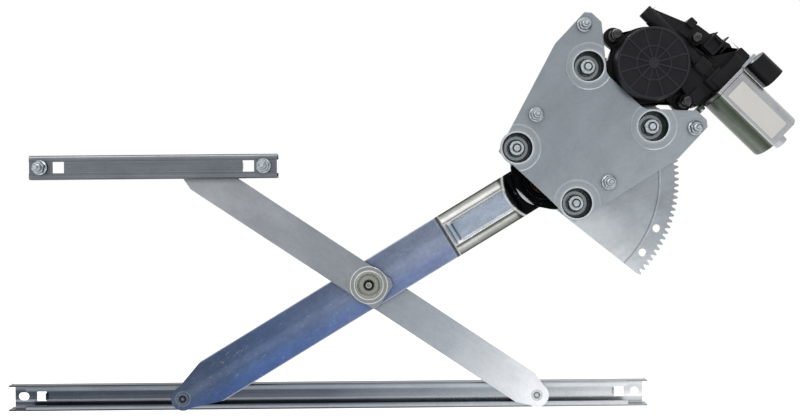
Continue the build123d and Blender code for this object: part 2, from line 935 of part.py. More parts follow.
# Fixed channel: a C section with its web to the front and its lips at the back
with BuildPart() as fixed_channel:
    with BuildSketch(side_section(fixed_left, fixed_line, 0, 1)):
        with Locations((fixed_depth / 2, 0)):
            RectangleRounded(fixed_depth, fixed_height, fixed_corner)
            RectangleRounded(
                fixed_depth - 2 * channel_wall, fixed_height - 2 * channel_wall, 0.8, mode=Mode.SUBTRACT
            )
        with Locations((fixed_depth, 0)):
            Rectangle(4 * channel_wall, 2 * fixed_slot_half, mode=Mode.SUBTRACT)
        with Locations((0, 0)):
            Rectangle(2 * fixed_band_depth, 2 * fixed_band_half, mode=Mode.SUBTRACT)
    extrude(amount=fixed_right - fixed_left)
    with BuildSketch(facing(-channel_wall, at=(0, fixed_line))):
        with Locations(*[(x, 0) for x in fixed_windows]):
            Rectangle(fixed_window_side, fixed_window_side)
        with Locations(*[(x, 0) for x in fixed_studs]):
            Circle(door_stud_radius + fixed_fit)
    extrude(amount=channel_wall, mode=Mode.SUBTRACT)
    for x, side in zip(fixed_windows, (1, -1)):
        with BuildSketch(facing(-tab_rise, at=(x + side * fixed_window_side / 2, fixed_line))):
            with Locations((side * tab_wall / 2, 0)):
                Rectangle(tab_wall, tab_width)
        extrude(amount=tab_rise - channel_wall)
write(fixed_channel.part, "fixed_channel")
fixed_studs_at = [(x, fixed_line) for x in fixed_studs]
fixed_web_back = -channel_wall
write(
    turned_pieces(
        [
            (0, fixed_web_back - stud_head_height),
            (stud_head, fixed_web_back - stud_head_height),
            (stud_head, fixed_web_back),
            (stud_neck_radius, fixed_web_back),
            *stud_point,
        ],
        fixed_studs_at,
    ),
    "fixed_channel_studs",
)
write(
    flange_nuts(
        fixed_studs_at, 0, door_stud_radius + screw_fit, door_nut_flats, door_nut_flange, door_nut_height, 15
    ),
    "fixed_channel_nuts",
)

# Glass channel: a C section with its web at the back, open to the front, lips cut away at both ends
with BuildPart() as glass_channel:
    with BuildSketch(side_section(glass_right, glass_line, glass_back, -1)):
        with Locations((glass_depth / 2, 0)):
            RectangleRounded(glass_depth, glass_height, glass_corner)
            RectangleRounded(glass_depth - 2 * glass_wall, glass_height - 2 * glass_wall, 0.8, mode=Mode.SUBTRACT)
        with Locations((glass_depth, 0)):
            Rectangle(4 * glass_wall, 2 * glass_slot_half, mode=Mode.SUBTRACT)
    extrude(amount=glass_right - glass_left)
    lip_room = glass_corner + 0.4
    for start, end in ((glass_left, glass_lip_left), (glass_lip_right, glass_right)):
        with BuildSketch(facing(glass_front - lip_room, at=(0, glass_line))):
            with Locations(((start + end) / 2, 0)):
                Rectangle(end - start, glass_height)
        extrude(amount=lip_room, mode=Mode.SUBTRACT)
    for end in (glass_left, glass_right):
        with BuildSketch(facing(glass_back, at=(end, glass_line))):
            Rectangle(2 * glass_web_setback, glass_height - 2 * glass_wall)
        extrude(amount=glass_wall, mode=Mode.SUBTRACT)
    with BuildSketch(facing(glass_back, at=(0, glass_line))):
        with Locations((glass_slot_at, 0)):
            SlotOverall(glass_slot_length, glass_slot_width)
        with Locations(*[(x, 0) for x in glass_windows]):
            Rectangle(glass_window_side, glass_window_side)
        with Locations((glass_hole_at, 0)):
            Circle(glass_hole_radius)
    extrude(amount=glass_wall, mode=Mode.SUBTRACT)
    for x, side in zip(glass_windows, (1, -1)):
        with BuildSketch(facing(glass_back + glass_wall, at=(x + side * glass_window_side / 2, glass_line))):
            with Locations((side * tab_wall / 2, 0)):
                Rectangle(tab_wall, tab_width)
        extrude(amount=tab_rise - channel_wall)
write(glass_channel.part, "glass_channel")

# Output shaft of the gearbox: worm wheel inside the housing, pinion behind the base plate
wheel_back = worm_height - wheel_width / 2
wheel_front = worm_height + wheel_width / 2
pinion_back = (lift_front + sector_front) / 2 - pinion_width / 2
pinion_front = pinion_back + pinion_width
with BuildPart() as worm_wheel:
    with BuildSketch(facing(wheel_back, motor_turn, pinion_at)):
        with BuildLine():
            wheel_centres = [360 / wheel_teeth * index for index in range(wheel_teeth)]
            Polyline(*tooth_outline(wheel_teeth, wheel_module, wheel_centres, 1), close=True)
        make_face()
        Circle(output_shaft_radius + fixed_fit, mode=Mode.SUBTRACT)
    extrude(amount=wheel_width)
    with BuildSketch(facing(wheel_front - 2, motor_turn, pinion_at)):
        Circle(21.0)
        Circle(9.0, mode=Mode.SUBTRACT)
    extrude(amount=2, mode=Mode.SUBTRACT)
write(worm_wheel.part, "worm_wheel")

# The pinion's spaces line up with the sector's teeth on the line between the two axes
nearest_tooth = min(sector_centres, key=lambda centre: abs(centre - plate_turn))
pinion_space = plate_turn + 180 - (nearest_tooth - plate_turn) * sector_teeth / pinion_teeth
pinion_centres = [pinion_space + 360 / pinion_teeth * (index + 0.5) for index in range(pinion_teeth)]
with BuildPart() as output_pinion:
    with BuildSketch(facing(pinion_back, 0, pinion_at)):
        with BuildLine():
            Polyline(*tooth_outline(pinion_teeth, gear_module, pinion_centres, 4), close=True)
        make_face()
    extrude(amount=pinion_width)
    with BuildSketch(facing(pinion_front, 0, pinion_at)):
        Circle(output_shaft_radius)
    extrude(amount=cover_front - cover_wall - 1 - pinion_front)
    with BuildSketch(facing(pinion_back - 3, 0, pinion_at)):
        Circle(output_shaft_radius)
    extrude(amount=3)
    with BuildSketch(facing(pinion_back - 2, 0, pinion_at)):
        Circle(output_shaft_radius + 1)
        Circle(output_shaft_radius - 1, mode=Mode.SUBTRACT)
    extrude(amount=1, mode=Mode.SUBTRACT)
write(output_pinion.part, "output_pinion")
with BuildPart() as pinion_clip:
    with BuildSketch(facing(pinion_back - 1.9, plate_turn, pinion_at)):
        Circle(output_shaft_radius + 2.5)
        Circle(output_shaft_radius - 1 + fixed_fit, mode=Mode.SUBTRACT)
        with Locations((8, 0)):
            Rectangle(16, 2 * (output_shaft_radius - 1.4), mode=Mode.SUBTRACT)
    extrude(amount=0.8)
write(pinion_clip.part, "pinion_clip")

# Frame of the motor: the worm axis runs down to the right, across the line to the pinion
motor_along = (cos(radians(motor_turn)), sin(radians(motor_turn)))
worm_way = (motor_along[1], -motor_along[0])
worm_offset = wheel_module * (wheel_teeth / 2 + 1) + worm_clearance + worm_radius
worm_foot = polar(worm_offset, motor_turn, pinion_at)


def across_worm(distance):
    """A plane across the worm axis: its x axis points away from the pinion and its y axis to the viewer."""
    return Plane(
        origin=(worm_foot[0] + distance * worm_way[0], -worm_height, worm_foot[1] + distance * worm_way[1]),
        x_dir=(motor_along[0], 0, motor_along[1]),
        z_dir=(worm_way[0], 0, worm_way[1]),
    )


def motor_round(radius, start, end, mode=Mode.ADD):
    """A cylinder along the worm axis between two distances, in the part that is being built."""
    with BuildSketch(across_worm(start)) as disc:
        Circle(radius)
    extrude(disc.sketch, amount=end - start, mode=mode)


# Gear housing: flange, ears with towers, drum, worm tube and the stepped block that carries the motor.
# Points are measured from the pinion, away from it and then up along the worm.
seat_start = yoke_at - seat_length
block_edge = 64.0
block_outline = [
    (18.0, 12.0),
    (49.0, 2.8),
    (54.1, -5.8),
    (55.7, -18.4),
    (59.5, -20.6),
    (59.7, -31.2),
    (61.5, -37.0),
    (59.8, -44.0),
    (block_edge, -45.6),
    (block_edge, -yoke_at),
    (8.0, -yoke_at),
    (0.0, -54.0),
    (4.0, -34.0),
]
web_outline = [
    (worm_offset, 36.0),
    (worm_offset + stub_radius, 32.5),
    (49.0, 2.8),
    (40.0, -6.0),
    (worm_offset, -6.0),
]
# Raised blocks: middle, length across the worm, length along it, and top height
raised_blocks = (
    ((50.5, 0.0), 7.5, 8.0, 5.5),
    ((49.5, -27.0), 15.0, 13.0, 7.0),
    ((block_edge - 4.5, -51.0), 9.0, 11.5, 8.5),
    ((8.0, -48.0), 13.0, 11.0, 5.0),
)
clip_fins = (((57.5, -22.0), 6.5), ((60.5, -32.0), 8.0), ((54.0, -36.5), 9.0))
with BuildPart() as gear_housing:
    with BuildSketch(facing(base_front, motor_turn, pinion_at)):
        Circle(housing_flange_radius)
        for u, v in ears:
            SlotCenterPoint((u / 2, v / 2), (u, v), 2 * ear_radius)
    extrude(amount=housing_flange_height)
    for at in ears_at:
        with BuildSketch(facing(base_front, at=at)):
            Circle(ear_radius)
        extrude(amount=ear_height)
        with BuildSketch(facing(base_front, at=at)):
            Circle(tower_radius)
        extrude(amount=tower_height)
    with BuildSketch(facing(base_front + housing_flange_height, motor_turn, pinion_at)):
        Circle(drum_radius)
    extrude(amount=drum_front - base_front - housing_flange_height)
    with BuildSketch(facing(base_front + 2, motor_turn, pinion_at)):
        with BuildLine():
            Polyline(*block_outline, close=True)
        make_face()
    extrude(amount=14)
    with BuildSketch(facing(base_front + 5, motor_turn, pinion_at)):
        with BuildLine():
            Polyline(*web_outline, close=True)
        make_face()
    extrude(amount=10)
    for middle, across, along, top in raised_blocks:
        with BuildSketch(facing(base_front + 2, motor_turn, pinion_at)):
            with Locations(middle):
                RectangleRounded(across, along, 1.5)
        extrude(amount=top - base_front - 2)
    for middle, reach in clip_fins:
        with BuildSketch(facing(base_front + 4, motor_turn, pinion_at)):
            with Locations(middle):
                Rectangle(reach, 1.4)
        extrude(amount=14)
    with BuildSketch(facing(4.0, motor_turn, pinion_at)):
        with Locations((49.5, -27.0)):
            RectangleRounded(10.5, 8.5, 1.0)
    extrude(amount=3, mode=Mode.SUBTRACT)
    motor_round(worm_tube_radius, tube_end, yoke_at)
    motor_round(stub_radius, stub_end, tube_end)
    motor_round(collar_radius, *collar_span)
    motor_round(seat_round_radius, seat_start - 3, yoke_at - 0.5)
    with BuildSketch(across_worm(seat_start)):
        with Locations((seat_offset, 0)):
            RectangleRounded(seat_across, seat_height, seat_corner)
    extrude(amount=seat_length)
    with BuildSketch(facing(cavity_floor, motor_turn, pinion_at)):
        Circle(cavity_radius)
    extrude(amount=drum_front - cavity_floor, mode=Mode.SUBTRACT)
    motor_round(worm_bore_radius, tube_end + 4, yoke_at, Mode.SUBTRACT)
    motor_round(armature_shaft_radius + running_fit, tube_end - 4, tube_end + 4, Mode.SUBTRACT)
    with BuildSketch(facing(base_front, motor_turn, pinion_at)):
        Circle(output_shaft_radius + running_fit)
    extrude(amount=cavity_floor - base_front, mode=Mode.SUBTRACT)
    for at in ears_at:
        with BuildSketch(facing(base_front, at=at)):
            Circle(ear_screw_radius + screw_fit)
        extrude(amount=tower_height, mode=Mode.SUBTRACT)
write(gear_housing.part, "gear_housing")
tower_top = base_front + tower_height
write(
    turned_pieces(
        [
            (0, base_back - 4),
            (ear_screw_radius, base_back - 4),
            (ear_screw_radius, tower_top),
            (ear_screw_head, tower_top),
            (ear_screw_head, tower_top + 0.45 * ear_screw_head_height),
            (0.88 * ear_screw_head, tower_top + 0.72 * ear_screw_head_height),
            (0.55 * ear_screw_head, tower_top + 0.93 * ear_screw_head_height),
            (0, tower_top + ear_screw_head_height),
        ],
        ears_at,
    ),
    "motor_screws",
)

# Gear cover: a round cap with radial ribs, an inner ring and a hub
with BuildPart() as gear_cover:
    with BuildSketch(facing(drum_front, motor_turn, pinion_at)):
        Circle(cover_radius)
    extrude(amount=cover_front - drum_front)
    fillet(gear_cover.faces().sort_by(Axis.Y)[0].edges(), radius=1.2)
    with BuildSketch(facing(drum_front, motor_turn, pinion_at)):
        Circle(cavity_radius)
    extrude(amount=cover_front - drum_front - cover_wall, mode=Mode.SUBTRACT)
    with BuildSketch(facing(cover_front - cover_rib_depth, motor_turn, pinion_at)):
        Circle(cover_radius - 2.2)
        Circle(cover_hub_radius, mode=Mode.SUBTRACT)
        RegularPolygon(cover_ring_radius, cover_rib_count, mode=Mode.SUBTRACT)
        RegularPolygon(cover_ring_radius - cover_rib_width, cover_rib_count)
        Circle(cover_hub_radius, mode=Mode.SUBTRACT)
        with PolarLocations(0, cover_rib_count):
            with Locations((cover_radius / 2, 0)):
                Rectangle(cover_radius, cover_rib_width, mode=Mode.SUBTRACT)
    extrude(amount=cover_rib_depth, mode=Mode.SUBTRACT)
write(gear_cover.part, "gear_cover")

# Motor can: a deep-drawn tube with two flats, closed at the end round a bearing boss
can_start = yoke_at + yoke_wall
can_end = can_start + can_length


def can_sketch(radius, flat):
    Circle(radius)
    Rectangle(2 * radius, 2 * flat, mode=Mode.INTERSECT)


with BuildPart() as motor_can:
    with BuildSketch(across_worm(can_start)):
        can_sketch(can_radius, can_flat)
    extrude(amount=can_length - can_end_bevel)
    with BuildSketch(across_worm(can_end - can_end_bevel)):
        can_sketch(can_radius, can_flat)
    extrude(amount=can_end_bevel, taper=40)
    motor_round(can_boss_radius, can_end - can_end_bevel, can_end + can_boss_length)
    with BuildSketch(across_worm(can_start)):
        can_sketch(can_radius - can_wall, can_flat - can_wall)
    extrude(amount=can_length - can_wall, mode=Mode.SUBTRACT)
    motor_round(can_boss_radius - can_wall, can_end - can_wall, can_end + can_boss_length - can_wall, Mode.SUBTRACT)
write(motor_can.part, "motor_can")

# Yoke flange between the housing and the can, with an ear at each end
with BuildPart() as yoke_flange:
    with BuildSketch(across_worm(yoke_at)):
        can_sketch(can_radius + 1.5, can_flat + 0.5)
        for middle, reach in yoke_ears:
            with Locations(middle):
                RectangleRounded(reach, yoke_ear_width, 3.0)
        Circle(yoke_hole_radius, mode=Mode.SUBTRACT)
        with Locations(*yoke_screws_at):
            Circle(yoke_screw_radius + screw_fit, mode=Mode.SUBTRACT)
    extrude(amount=yoke_wall)
write(yoke_flange.part, "yoke_flange")
with BuildPart() as yoke_screws:
    for place in yoke_screws_at:
        with BuildSketch(across_worm(can_start)):
            with Locations(place):
                Circle(yoke_screw_head)
        extrude(amount=yoke_screw_head_height)
        with BuildSketch(across_worm(yoke_at)):
            with Locations(place):
                Circle(yoke_screw_radius)
        extrude(amount=yoke_wall)
write(yoke_screws.part, "yoke_screws")

# Armature: a shaft with the worm on it, the wound core and the commutator
with BuildPart() as armature_shaft:
    motor_round(armature_shaft_radius, tube_end - 3, can_end + can_boss_length - can_wall - 0.5)
    worm_half = 9.8
    motor_round(worm_root, -worm_half, worm_half)
    for index in range(7):
        middle = (index - 3) * worm_pitch
        motor_round(worm_radius, middle - 0.5, middle + 0.5)
write(armature_shaft.part, "armature_shaft")
core_start = can_start + 18
core_end = can_start + 52
with BuildPart() as armature_core:
    with BuildSketch(across_worm(core_start)):
        Circle(armature_core_radius)
        with PolarLocations(armature_core_radius - 2.5, armature_slots):
            Rectangle(9.0, 2.6, mode=Mode.SUBTRACT)
        Circle(armature_shaft_radius + fixed_fit, mode=Mode.SUBTRACT)
    extrude(amount=core_end - core_start)
write(armature_core.part, "armature_core")
with BuildPart() as commutator:
    with BuildSketch(across_worm(can_start + 4)):
        Circle(commutator_radius)
        Circle(armature_shaft_radius + fixed_fit, mode=Mode.SUBTRACT)
    extrude(amount=10)
write(commutator.part, "commutator")
with BuildPart() as magnets:
    with BuildSketch(across_worm(core_start - 2)):
        Circle(can_radius - can_wall - fixed_fit)
        Circle(armature_core_radius + 0.7, mode=Mode.SUBTRACT)
        with Locations((0, 15), (0, -15)):
            Rectangle(60, 14, mode=Mode.SUBTRACT)
    extrude(amount=core_end - core_start + 4)
write(magnets.part, "magnets")
with BuildPart() as rear_bearing:
    motor_round(can_boss_radius - can_wall - fixed_fit, can_end - can_wall, can_end + 4)
    motor_round(armature_shaft_radius + running_fit, can_end - can_wall, can_end + 4, Mode.SUBTRACT)
write(rear_bearing.part, "rear_bearing")
with BuildPart() as brush_holder:
    with BuildSketch(across_worm(can_start)):
        can_sketch(can_radius - can_wall - 0.3, can_flat - can_wall - 0.3)
        Circle(armature_shaft_radius + 2, mode=Mode.SUBTRACT)
    extrude(amount=2)
    with BuildSketch(across_worm(can_start + 2)):
        with Locations((14.2, 0), (-14.2, 0)):
            Rectangle(11.0, 9.0)
            Rectangle(11.0, 6.1, mode=Mode.SUBTRACT)
    extrude(amount=9)
write(brush_holder.part, "brush_holder")
with BuildPart() as brushes:
    with BuildSketch(across_worm(can_start + 4)):
        with Locations((13.0, 0), (-13.0, 0)):
            Rectangle(9.4, 6.0)
    extrude(amount=6)
write(brushes.part, "brushes")

# Connector socket beside the can, open down to the right, with its pins
socket_start = yoke_at + 6
socket_end = socket_start + 24
with BuildPart() as connector_socket:
    with BuildSketch(across_worm(socket_start)):
        with Locations(socket_at):
            RectangleRounded(socket_across, socket_across, socket_corner)
    extrude(amount=socket_end - socket_start)
    with BuildSketch(across_worm(socket_start + socket_floor)):
        with Locations(socket_at):
            RectangleRounded(
                socket_across - 2 * socket_wall, socket_across - 2 * socket_wall, socket_corner - socket_wall
            )
    extrude(amount=socket_end - socket_start - socket_floor, mode=Mode.SUBTRACT)
    with BuildSketch(across_worm(yoke_at)):
        with Locations((socket_at[0] - 3.9, socket_at[1] - 6.0)):
            Rectangle(socket_arm, socket_arm)
    extrude(amount=socket_start - yoke_at)
write(connector_socket.part, "connector_socket")
with BuildPart() as connector_pins:
    with BuildSketch(across_worm(socket_start + socket_floor)):
        with Locations(socket_at):
            with GridLocations(5.0, 4.4, 2, 2):
                Rectangle(2.0, 0.8)
    extrude(amount=13)
write(connector_pins.part, "connector_pins")
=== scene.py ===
"""The looks of a scissor window regulator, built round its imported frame."""

import json
from math import pi, radians

import bmesh
import bpy
from mathutils import Matrix, Vector

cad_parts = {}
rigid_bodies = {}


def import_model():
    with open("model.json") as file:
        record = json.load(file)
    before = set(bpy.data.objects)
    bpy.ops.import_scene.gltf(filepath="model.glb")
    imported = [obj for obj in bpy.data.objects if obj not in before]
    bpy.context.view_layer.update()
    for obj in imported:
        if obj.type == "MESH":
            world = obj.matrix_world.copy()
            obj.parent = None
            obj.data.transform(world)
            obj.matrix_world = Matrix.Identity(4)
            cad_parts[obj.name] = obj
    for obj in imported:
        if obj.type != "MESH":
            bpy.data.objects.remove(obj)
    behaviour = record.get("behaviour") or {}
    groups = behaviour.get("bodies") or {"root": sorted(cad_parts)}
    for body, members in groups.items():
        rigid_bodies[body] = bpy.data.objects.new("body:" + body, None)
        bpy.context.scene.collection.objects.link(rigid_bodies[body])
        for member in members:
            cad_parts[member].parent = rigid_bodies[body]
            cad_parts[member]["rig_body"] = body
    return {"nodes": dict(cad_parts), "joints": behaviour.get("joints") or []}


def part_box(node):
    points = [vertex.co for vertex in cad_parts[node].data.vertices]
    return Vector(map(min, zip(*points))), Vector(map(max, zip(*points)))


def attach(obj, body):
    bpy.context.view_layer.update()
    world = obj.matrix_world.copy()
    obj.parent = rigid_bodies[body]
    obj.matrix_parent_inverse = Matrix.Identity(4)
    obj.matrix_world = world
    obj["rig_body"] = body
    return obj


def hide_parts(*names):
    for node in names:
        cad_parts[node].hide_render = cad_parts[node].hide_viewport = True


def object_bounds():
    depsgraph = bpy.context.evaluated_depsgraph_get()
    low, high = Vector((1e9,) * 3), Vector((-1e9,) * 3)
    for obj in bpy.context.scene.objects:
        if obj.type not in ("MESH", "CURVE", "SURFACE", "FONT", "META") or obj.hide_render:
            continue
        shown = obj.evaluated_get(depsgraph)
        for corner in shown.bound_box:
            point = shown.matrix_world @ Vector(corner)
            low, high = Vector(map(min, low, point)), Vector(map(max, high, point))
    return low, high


bl_info = {
    "name": "Window Regulator",
    "version": (1, 0, 0),
    "blender": (4, 5, 0),
    "location": "View3D > Sidebar > Regulator",
    "description": "Dresses a scissor window regulator in zinc-plated steel and moulded nylon",
    "category": "Object",
}

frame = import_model()
cad_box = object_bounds()
joint_at = {joint["name"]: Vector(joint["pos_m"]) for joint in frame["joints"] if "pos_m" in joint}

MM = 0.001
MERGE = 1e-6

# Angles between faces, in degrees: flat enough to merge, sharp enough to round, smooth to the eye, folded
FLAT_ANGLE = 0.5
SHARP_ANGLE = 35
SMOOTH_ANGLE = 32
FOLD_ANGLE = 140
# A bevel on a nut may fall back to these shares of its width, and change the volume by this share
NUT_SHARES = (1.0, 0.6, 0.35)
VOLUME_SHARE = 0.06

# Ways in which the sheets were rolled, in degrees about Y
PLATE_GRAIN = 46.5
LIFT_GRAIN = 31
CROSS_GRAIN = -34
SECTOR_GRAIN = 20
CAN_GRAIN = -45

# Noises of a sheet's coat: skew from the rolled way in degrees, stretch along it, size in metres, detail
# and roughness. Clouds are 22 mm across and crystals 3 mm. Lines, 0.7 mm apart and some 60 mm long, and
# scratches, 1 mm wide and 7 mm long, are drawn coarse so that they show. Scuffs gather the scratches.
COAT_NOISES = (
    (0, 1.6, 0.022, 4.0, 0.55),
    (0, 80.0, 0.0007, 2.0, 0.6),
    (9, 7.0, 0.0010, 4.0, 0.75),
    (0, 1.0, 0.012, 5.0, 0.75),
    (0, 1.4, 0.003, 5.0, 0.75),
)
SCRATCHED_ZINC = "E5E7EC"

# Rounding of the drawn can, the spring's strip, the rollers' rims and the pinion's teeth
CAN_EDGE = 1.2 * MM
STRIP_EDGE = 0.2 * MM
ROLLER_EDGE = 0.3 * MM
TOOTH_EDGE = 0.15 * MM
# A thread's foot to each side in pitches, its sink into the core, and the chamfer of a stud's tip
THREAD_FOOT = 0.46
THREAD_SINK = 0.1 * MM
TIP_CHAMFER = 0.7 * MM

# Where bands of colour lie, in mm: the dishes' radius, spans along the lift arm from its pivot,
# spans across it from its middle line, and the front of its head measured from its back face
DISH_RADIUS = 13.3
TROUGH = (27.0, 97.0)
BELOW_TROUGH = (99.0, 460.0)
TROUGH_FLOOR = (-10.5, 10.5)
LOWER_SHOULDER = (-30, -10.5)
UPPER_SHOULDER = (10.5, 30)
HEAD_FRONT = (1.0, 99.0)
BAND_BLUR = 0.4
VIEWER = Vector((0, -1, 0))
UPWARDS = (0, 0, 1)

# Bands of colour over a coat. Each stop is a distance in mm, an sRGB hex colour and its cover from 0 to 1.
# Most of them paint light and shade: highlights and shade of folds too fine to press, of dishes and of gaps.
# A few are tints and bare edges.
# Round a dish, from its axis: painted highlights on its rims. Down into it, from its front: painted shade in
# its hollow
DISH_RIM_HIGHLIGHT = (
    (13.3, "D8DCDE", 0.8), (14.4, "C3C8CB", 0.7), (15.6, "9EA5AA", 0.4), (18.8, "949BA1", 0.3),
    (20.3, "ABB1B5", 0.6), (21.3, "878E94", 0),
)
DISH_HOLLOW_SHADE = (
    (0.2, "878E94", 0), (1, "4E565A", 0.8), (2.6, "1B2124", 0.92), (5, "2B3235", 0.92),
    (8, "7A8286", 0.85), (9, "8B9397", 0.8),
)
# The base plate's end, from the main pivot: painted shade, near black, under the mounting plate's edge, and a
# painted highlight on its rim
BASE_END_SHADE = (
    (0, "08090A", 1), (27.5, "0B0C0D", 1), (29.3, "151718", 1), (29.9, "4F5453", 1),
    (30.8, "C9CDCD", 1), (32, "8C918F", 1), (33, "5C605E", 1), (34.5, "4A4E4C", 0),
)
# Across the trough, from the arm's middle line: the floor's own tint, and painted highlights and painted
# shade on the slopes of its ridges
TROUGH_SHADING = (
    (-20.8, "2E302F", 1), (-19.8, "4A4B4A", 1), (-19.2, "84847F", 1), (-16.8, "B9B9B5", 1),
    (-14.8, "F2F2F0", 1), (-13.2, "D5D5D3", 1), (-12.2, "6D6E68", 1), (-11.4, "B2B4B2", 1),
    (-9.2, "C6C9C9", 1), (-8.3, "96A0AE", 1), (0, "93A0B0", 1), (8.3, "A3ACB8", 1),
    (9, "F0F0EE", 1), (10.6, "DCDCDA", 1), (11.6, "4A4C47", 1), (12.8, "686A66", 1),
    (14.4, "BDBFBC", 1), (16.8, "969894", 1), (19.4, "6C6E6C", 1), (20, "2E302F", 1),
    (20.8, "7A7C7B", 1),
)
# Across the arm below the trough: bare sheared edges and a greyer and a bluer half
ARM_ACROSS = (
    (-20.8, "C2C8CF", 0.7), (-20, "A9B0B9", 0.5), (-19.4, "3C4453", 0.3), (-14, "3C4453", 0.32),
    (-6, "454E5E", 0.2), (-2.5, "8A94A5", 0.1), (0.5, "8A94A5", 0.12), (4, "5B6F98", 0.1),
    (12, "3E5C9E", 0.3), (19.4, "3E5C9E", 0.25), (20, "A9B0B9", 0.5), (20.8, "C2C8CF", 0.7),
)
# Along the arm, all painted light and shade: a shade line at the foot of the trough's floor, a highlight and
# a shade line on the crease past it, and painted shadow on the shoulders above it
TROUGH_FOOT_SHADE = (
    (93, "5A6068", 0), (94.2, "343A40", 0.85), (96, "8C9193", 0.85), (97.5, "8C9193", 0),
)
ARM_CREASE_SHADING = (
    (96.5, "A9ABA8", 0), (97.3, "BFC1BE", 0.8), (98.4, "2E3236", 0.9), (100.2, "40464C", 0.85),
    (101.4, "9A9DA0", 0.4), (102.5, "7F8AA0", 0),
)
ARM_SHOULDER_SHADOW = ((17, "1C1E1C", 0.95), (30, "20221F", 0.92), (34, "2E302C", 0.85), (36.5, "6A6C6A", 0))
# The arm's head, from the main pivot: painted shade, near black, and a painted highlight on a ring round it
ARM_HEAD_SHADE = (
    (0, "0B0C0D", 1), (33.5, "0E1011", 1), (34.2, "2A2C2A", 0.9), (35, "C9CCCC", 0.85),
    (36.2, "D5D8D8", 0.6), (37.5, "3A3D3B", 0),
)
# Embossed rings of the crossing and of the heads of its pins, from their axes, and dimples at the arms' ends:
# painted highlights and painted shade
BOSS_RING_SHADING = (
    (3.9, "22241F", 1), (4.9, "3A3C38", 1), (5.5, "8B8C87", 1), (8.4, "84857F", 1),
    (9.2, "56574F", 1), (10, "C4C6C1", 1), (10.8, "8E8F89", 0.9), (12.2, "7E807A", 0.9),
    (12.9, "D2D4D0", 1), (13.7, "85878A", 0.7), (16, "7C7E7C", 0.7), (16.7, "D8DAD8", 0.9),
    (17.6, "8B8F95", 0),
)
RIVET_RING_SHADING = (
    (0, "A6A8A3", 1), (2.4, "8F918B", 1), (3, "1B1D1A", 1), (4.4, "262823", 1),
    (5.2, "85877F", 1),
)
NOSE_DIMPLE_SHADING = (
    (0, "6E747C", 1), (1.4, "3E444C", 1), (2.3, "171B20", 1), (3.2, "2B323B", 1),
    (4.4, "5B6370", 1), (6.2, "414A58", 1),
)
NOSE_RING_SHADING = ((5.6, "262C34", 0.9), (6.4, "7C848E", 0.8), (7.4, "48546A", 0))
END_DIMPLE_SHADING = (
    (0, "CDD0D2", 1), (1.6, "9DA1A4", 1), (2.6, "4A4E52", 1), (3.4, "B9BDBF", 1),
    (5.2, "DADCDE", 1),
)
# A dark and a light line inside the sector's teeth, from the main pivot
RIM_LINE = (
    (104.8, "5E656B", 0), (105.6, "50575D", 0.5), (106.2, "50575D", 0.5), (107.2, "C4C9CC", 0.5),
    (108.2, "C4C9CC", 0),
)
# Rolled folds of the two channels, upwards from their middle, drawn as painted highlights and painted shade
FIXED_FOLD_SHADING = (
    (-10.6, "25282B", 0.8), (-9.6, "5C6165", 0.7), (-8.4, "6A6F73", 0.6), (-7.6, "85898E", 0.5),
    (-7, "5A5F64", 0), (-5.8, "5A5F64", 0), (-5.2, "3A3E43", 0.7), (-4.8, "8E9398", 0.4),
    (-3.6, "676C72", 0), (3.8, "676C72", 0), (4.8, "8A8F96", 0.6), (5.4, "44494E", 0.7),
    (6.2, "676C72", 0), (8, "868A8F", 0.5), (9.2, "A2A6AA", 0.8), (10.6, "2B2E31", 0.8),
)
GLASS_FOLD_SHADING = (
    (-11.7, "23272B", 0.8), (-10.4, "2E3338", 0.6), (-9.6, "A9AFB4", 0.7), (-8.2, "9AA0A6", 0.5),
    (-7.2, "4A5058", 0.3), (-5.2, "3C4249", 0.4), (-4.4, "D8DBDD", 0.3), (-3.2, "D8DBDD", 0.3),
    (-2.4, "6A7078", 0.15), (1.5, "33393F", 0.35), (5, "3A4047", 0.35), (6.8, "9096A0", 0.3),
    (8.2, "A5ABB1", 0.4), (10, "9AA0A6", 0.4), (10.8, "3A3F44", 0.7), (11.7, "3A3F44", 0.7),
)
# The can's round side and the edge of its flat, across the worm: the side's greenish tint with painted
# reflection bands on it, and a painted highlight along the flat's edge
CAN_SIDE_SHADING = (
    (-22.5, "454B43", 1), (-20, "6C7369", 1), (-17.5, "4B5149", 1), (-15, "3A4038", 1),
    (-13, "5C6359", 1), (-12.2, "CDD0CD", 1), (-11.4, "9EA0A6", 0),
)

# Lamps in metres: place, with X and Z from the part's middle, and size
TOP_LAMP = ((0.0, -0.75, 1.25), (2.0, 0.5))
KEY_LAMP = ((-1.3, -1.2, 0.9), (0.9, 0.9))
RIM_LAMP = ((0.2, 1.1, 1.0), (1.2, 0.6))
FLOOR_RADIUS = 3.0
SENSOR_WIDTH = 36.0
FLOOR_GLOW = 0.35


def linear(hex_colour):
    """An sRGB hex colour as linear red, green and blue."""
    channels = [int(hex_colour[place : place + 2], 16) / 255 for place in (0, 2, 4)]
    return tuple(c / 12.92 if c <= 0.04045 else ((c + 0.055) / 1.055) ** 2.4 for c in channels)


def opaque(colour):
    """A colour with the alpha that a colour socket wants."""
    return (*colour[:3], 1.0)


def colour_property(name, description, hex_colour):
    """A colour that a user can change, given as an sRGB hex value."""
    return bpy.props.FloatVectorProperty(
        name=name, description=description, subtype="COLOR", size=3, min=0, max=1, default=linear(hex_colour)
    )


def length_property(name, description, millimetres):
    """A length that a user can change, given in millimetres."""
    return bpy.props.FloatProperty(
        name=name, description=description, unit="LENGTH", subtype="DISTANCE", min=0, default=millimetres * MM
    )


def power_property(name, description, watts):
    """A lamp's power that a user can change, given in watts."""
    return bpy.props.FloatProperty(name=name, description=description, unit="POWER", min=0, default=watts)


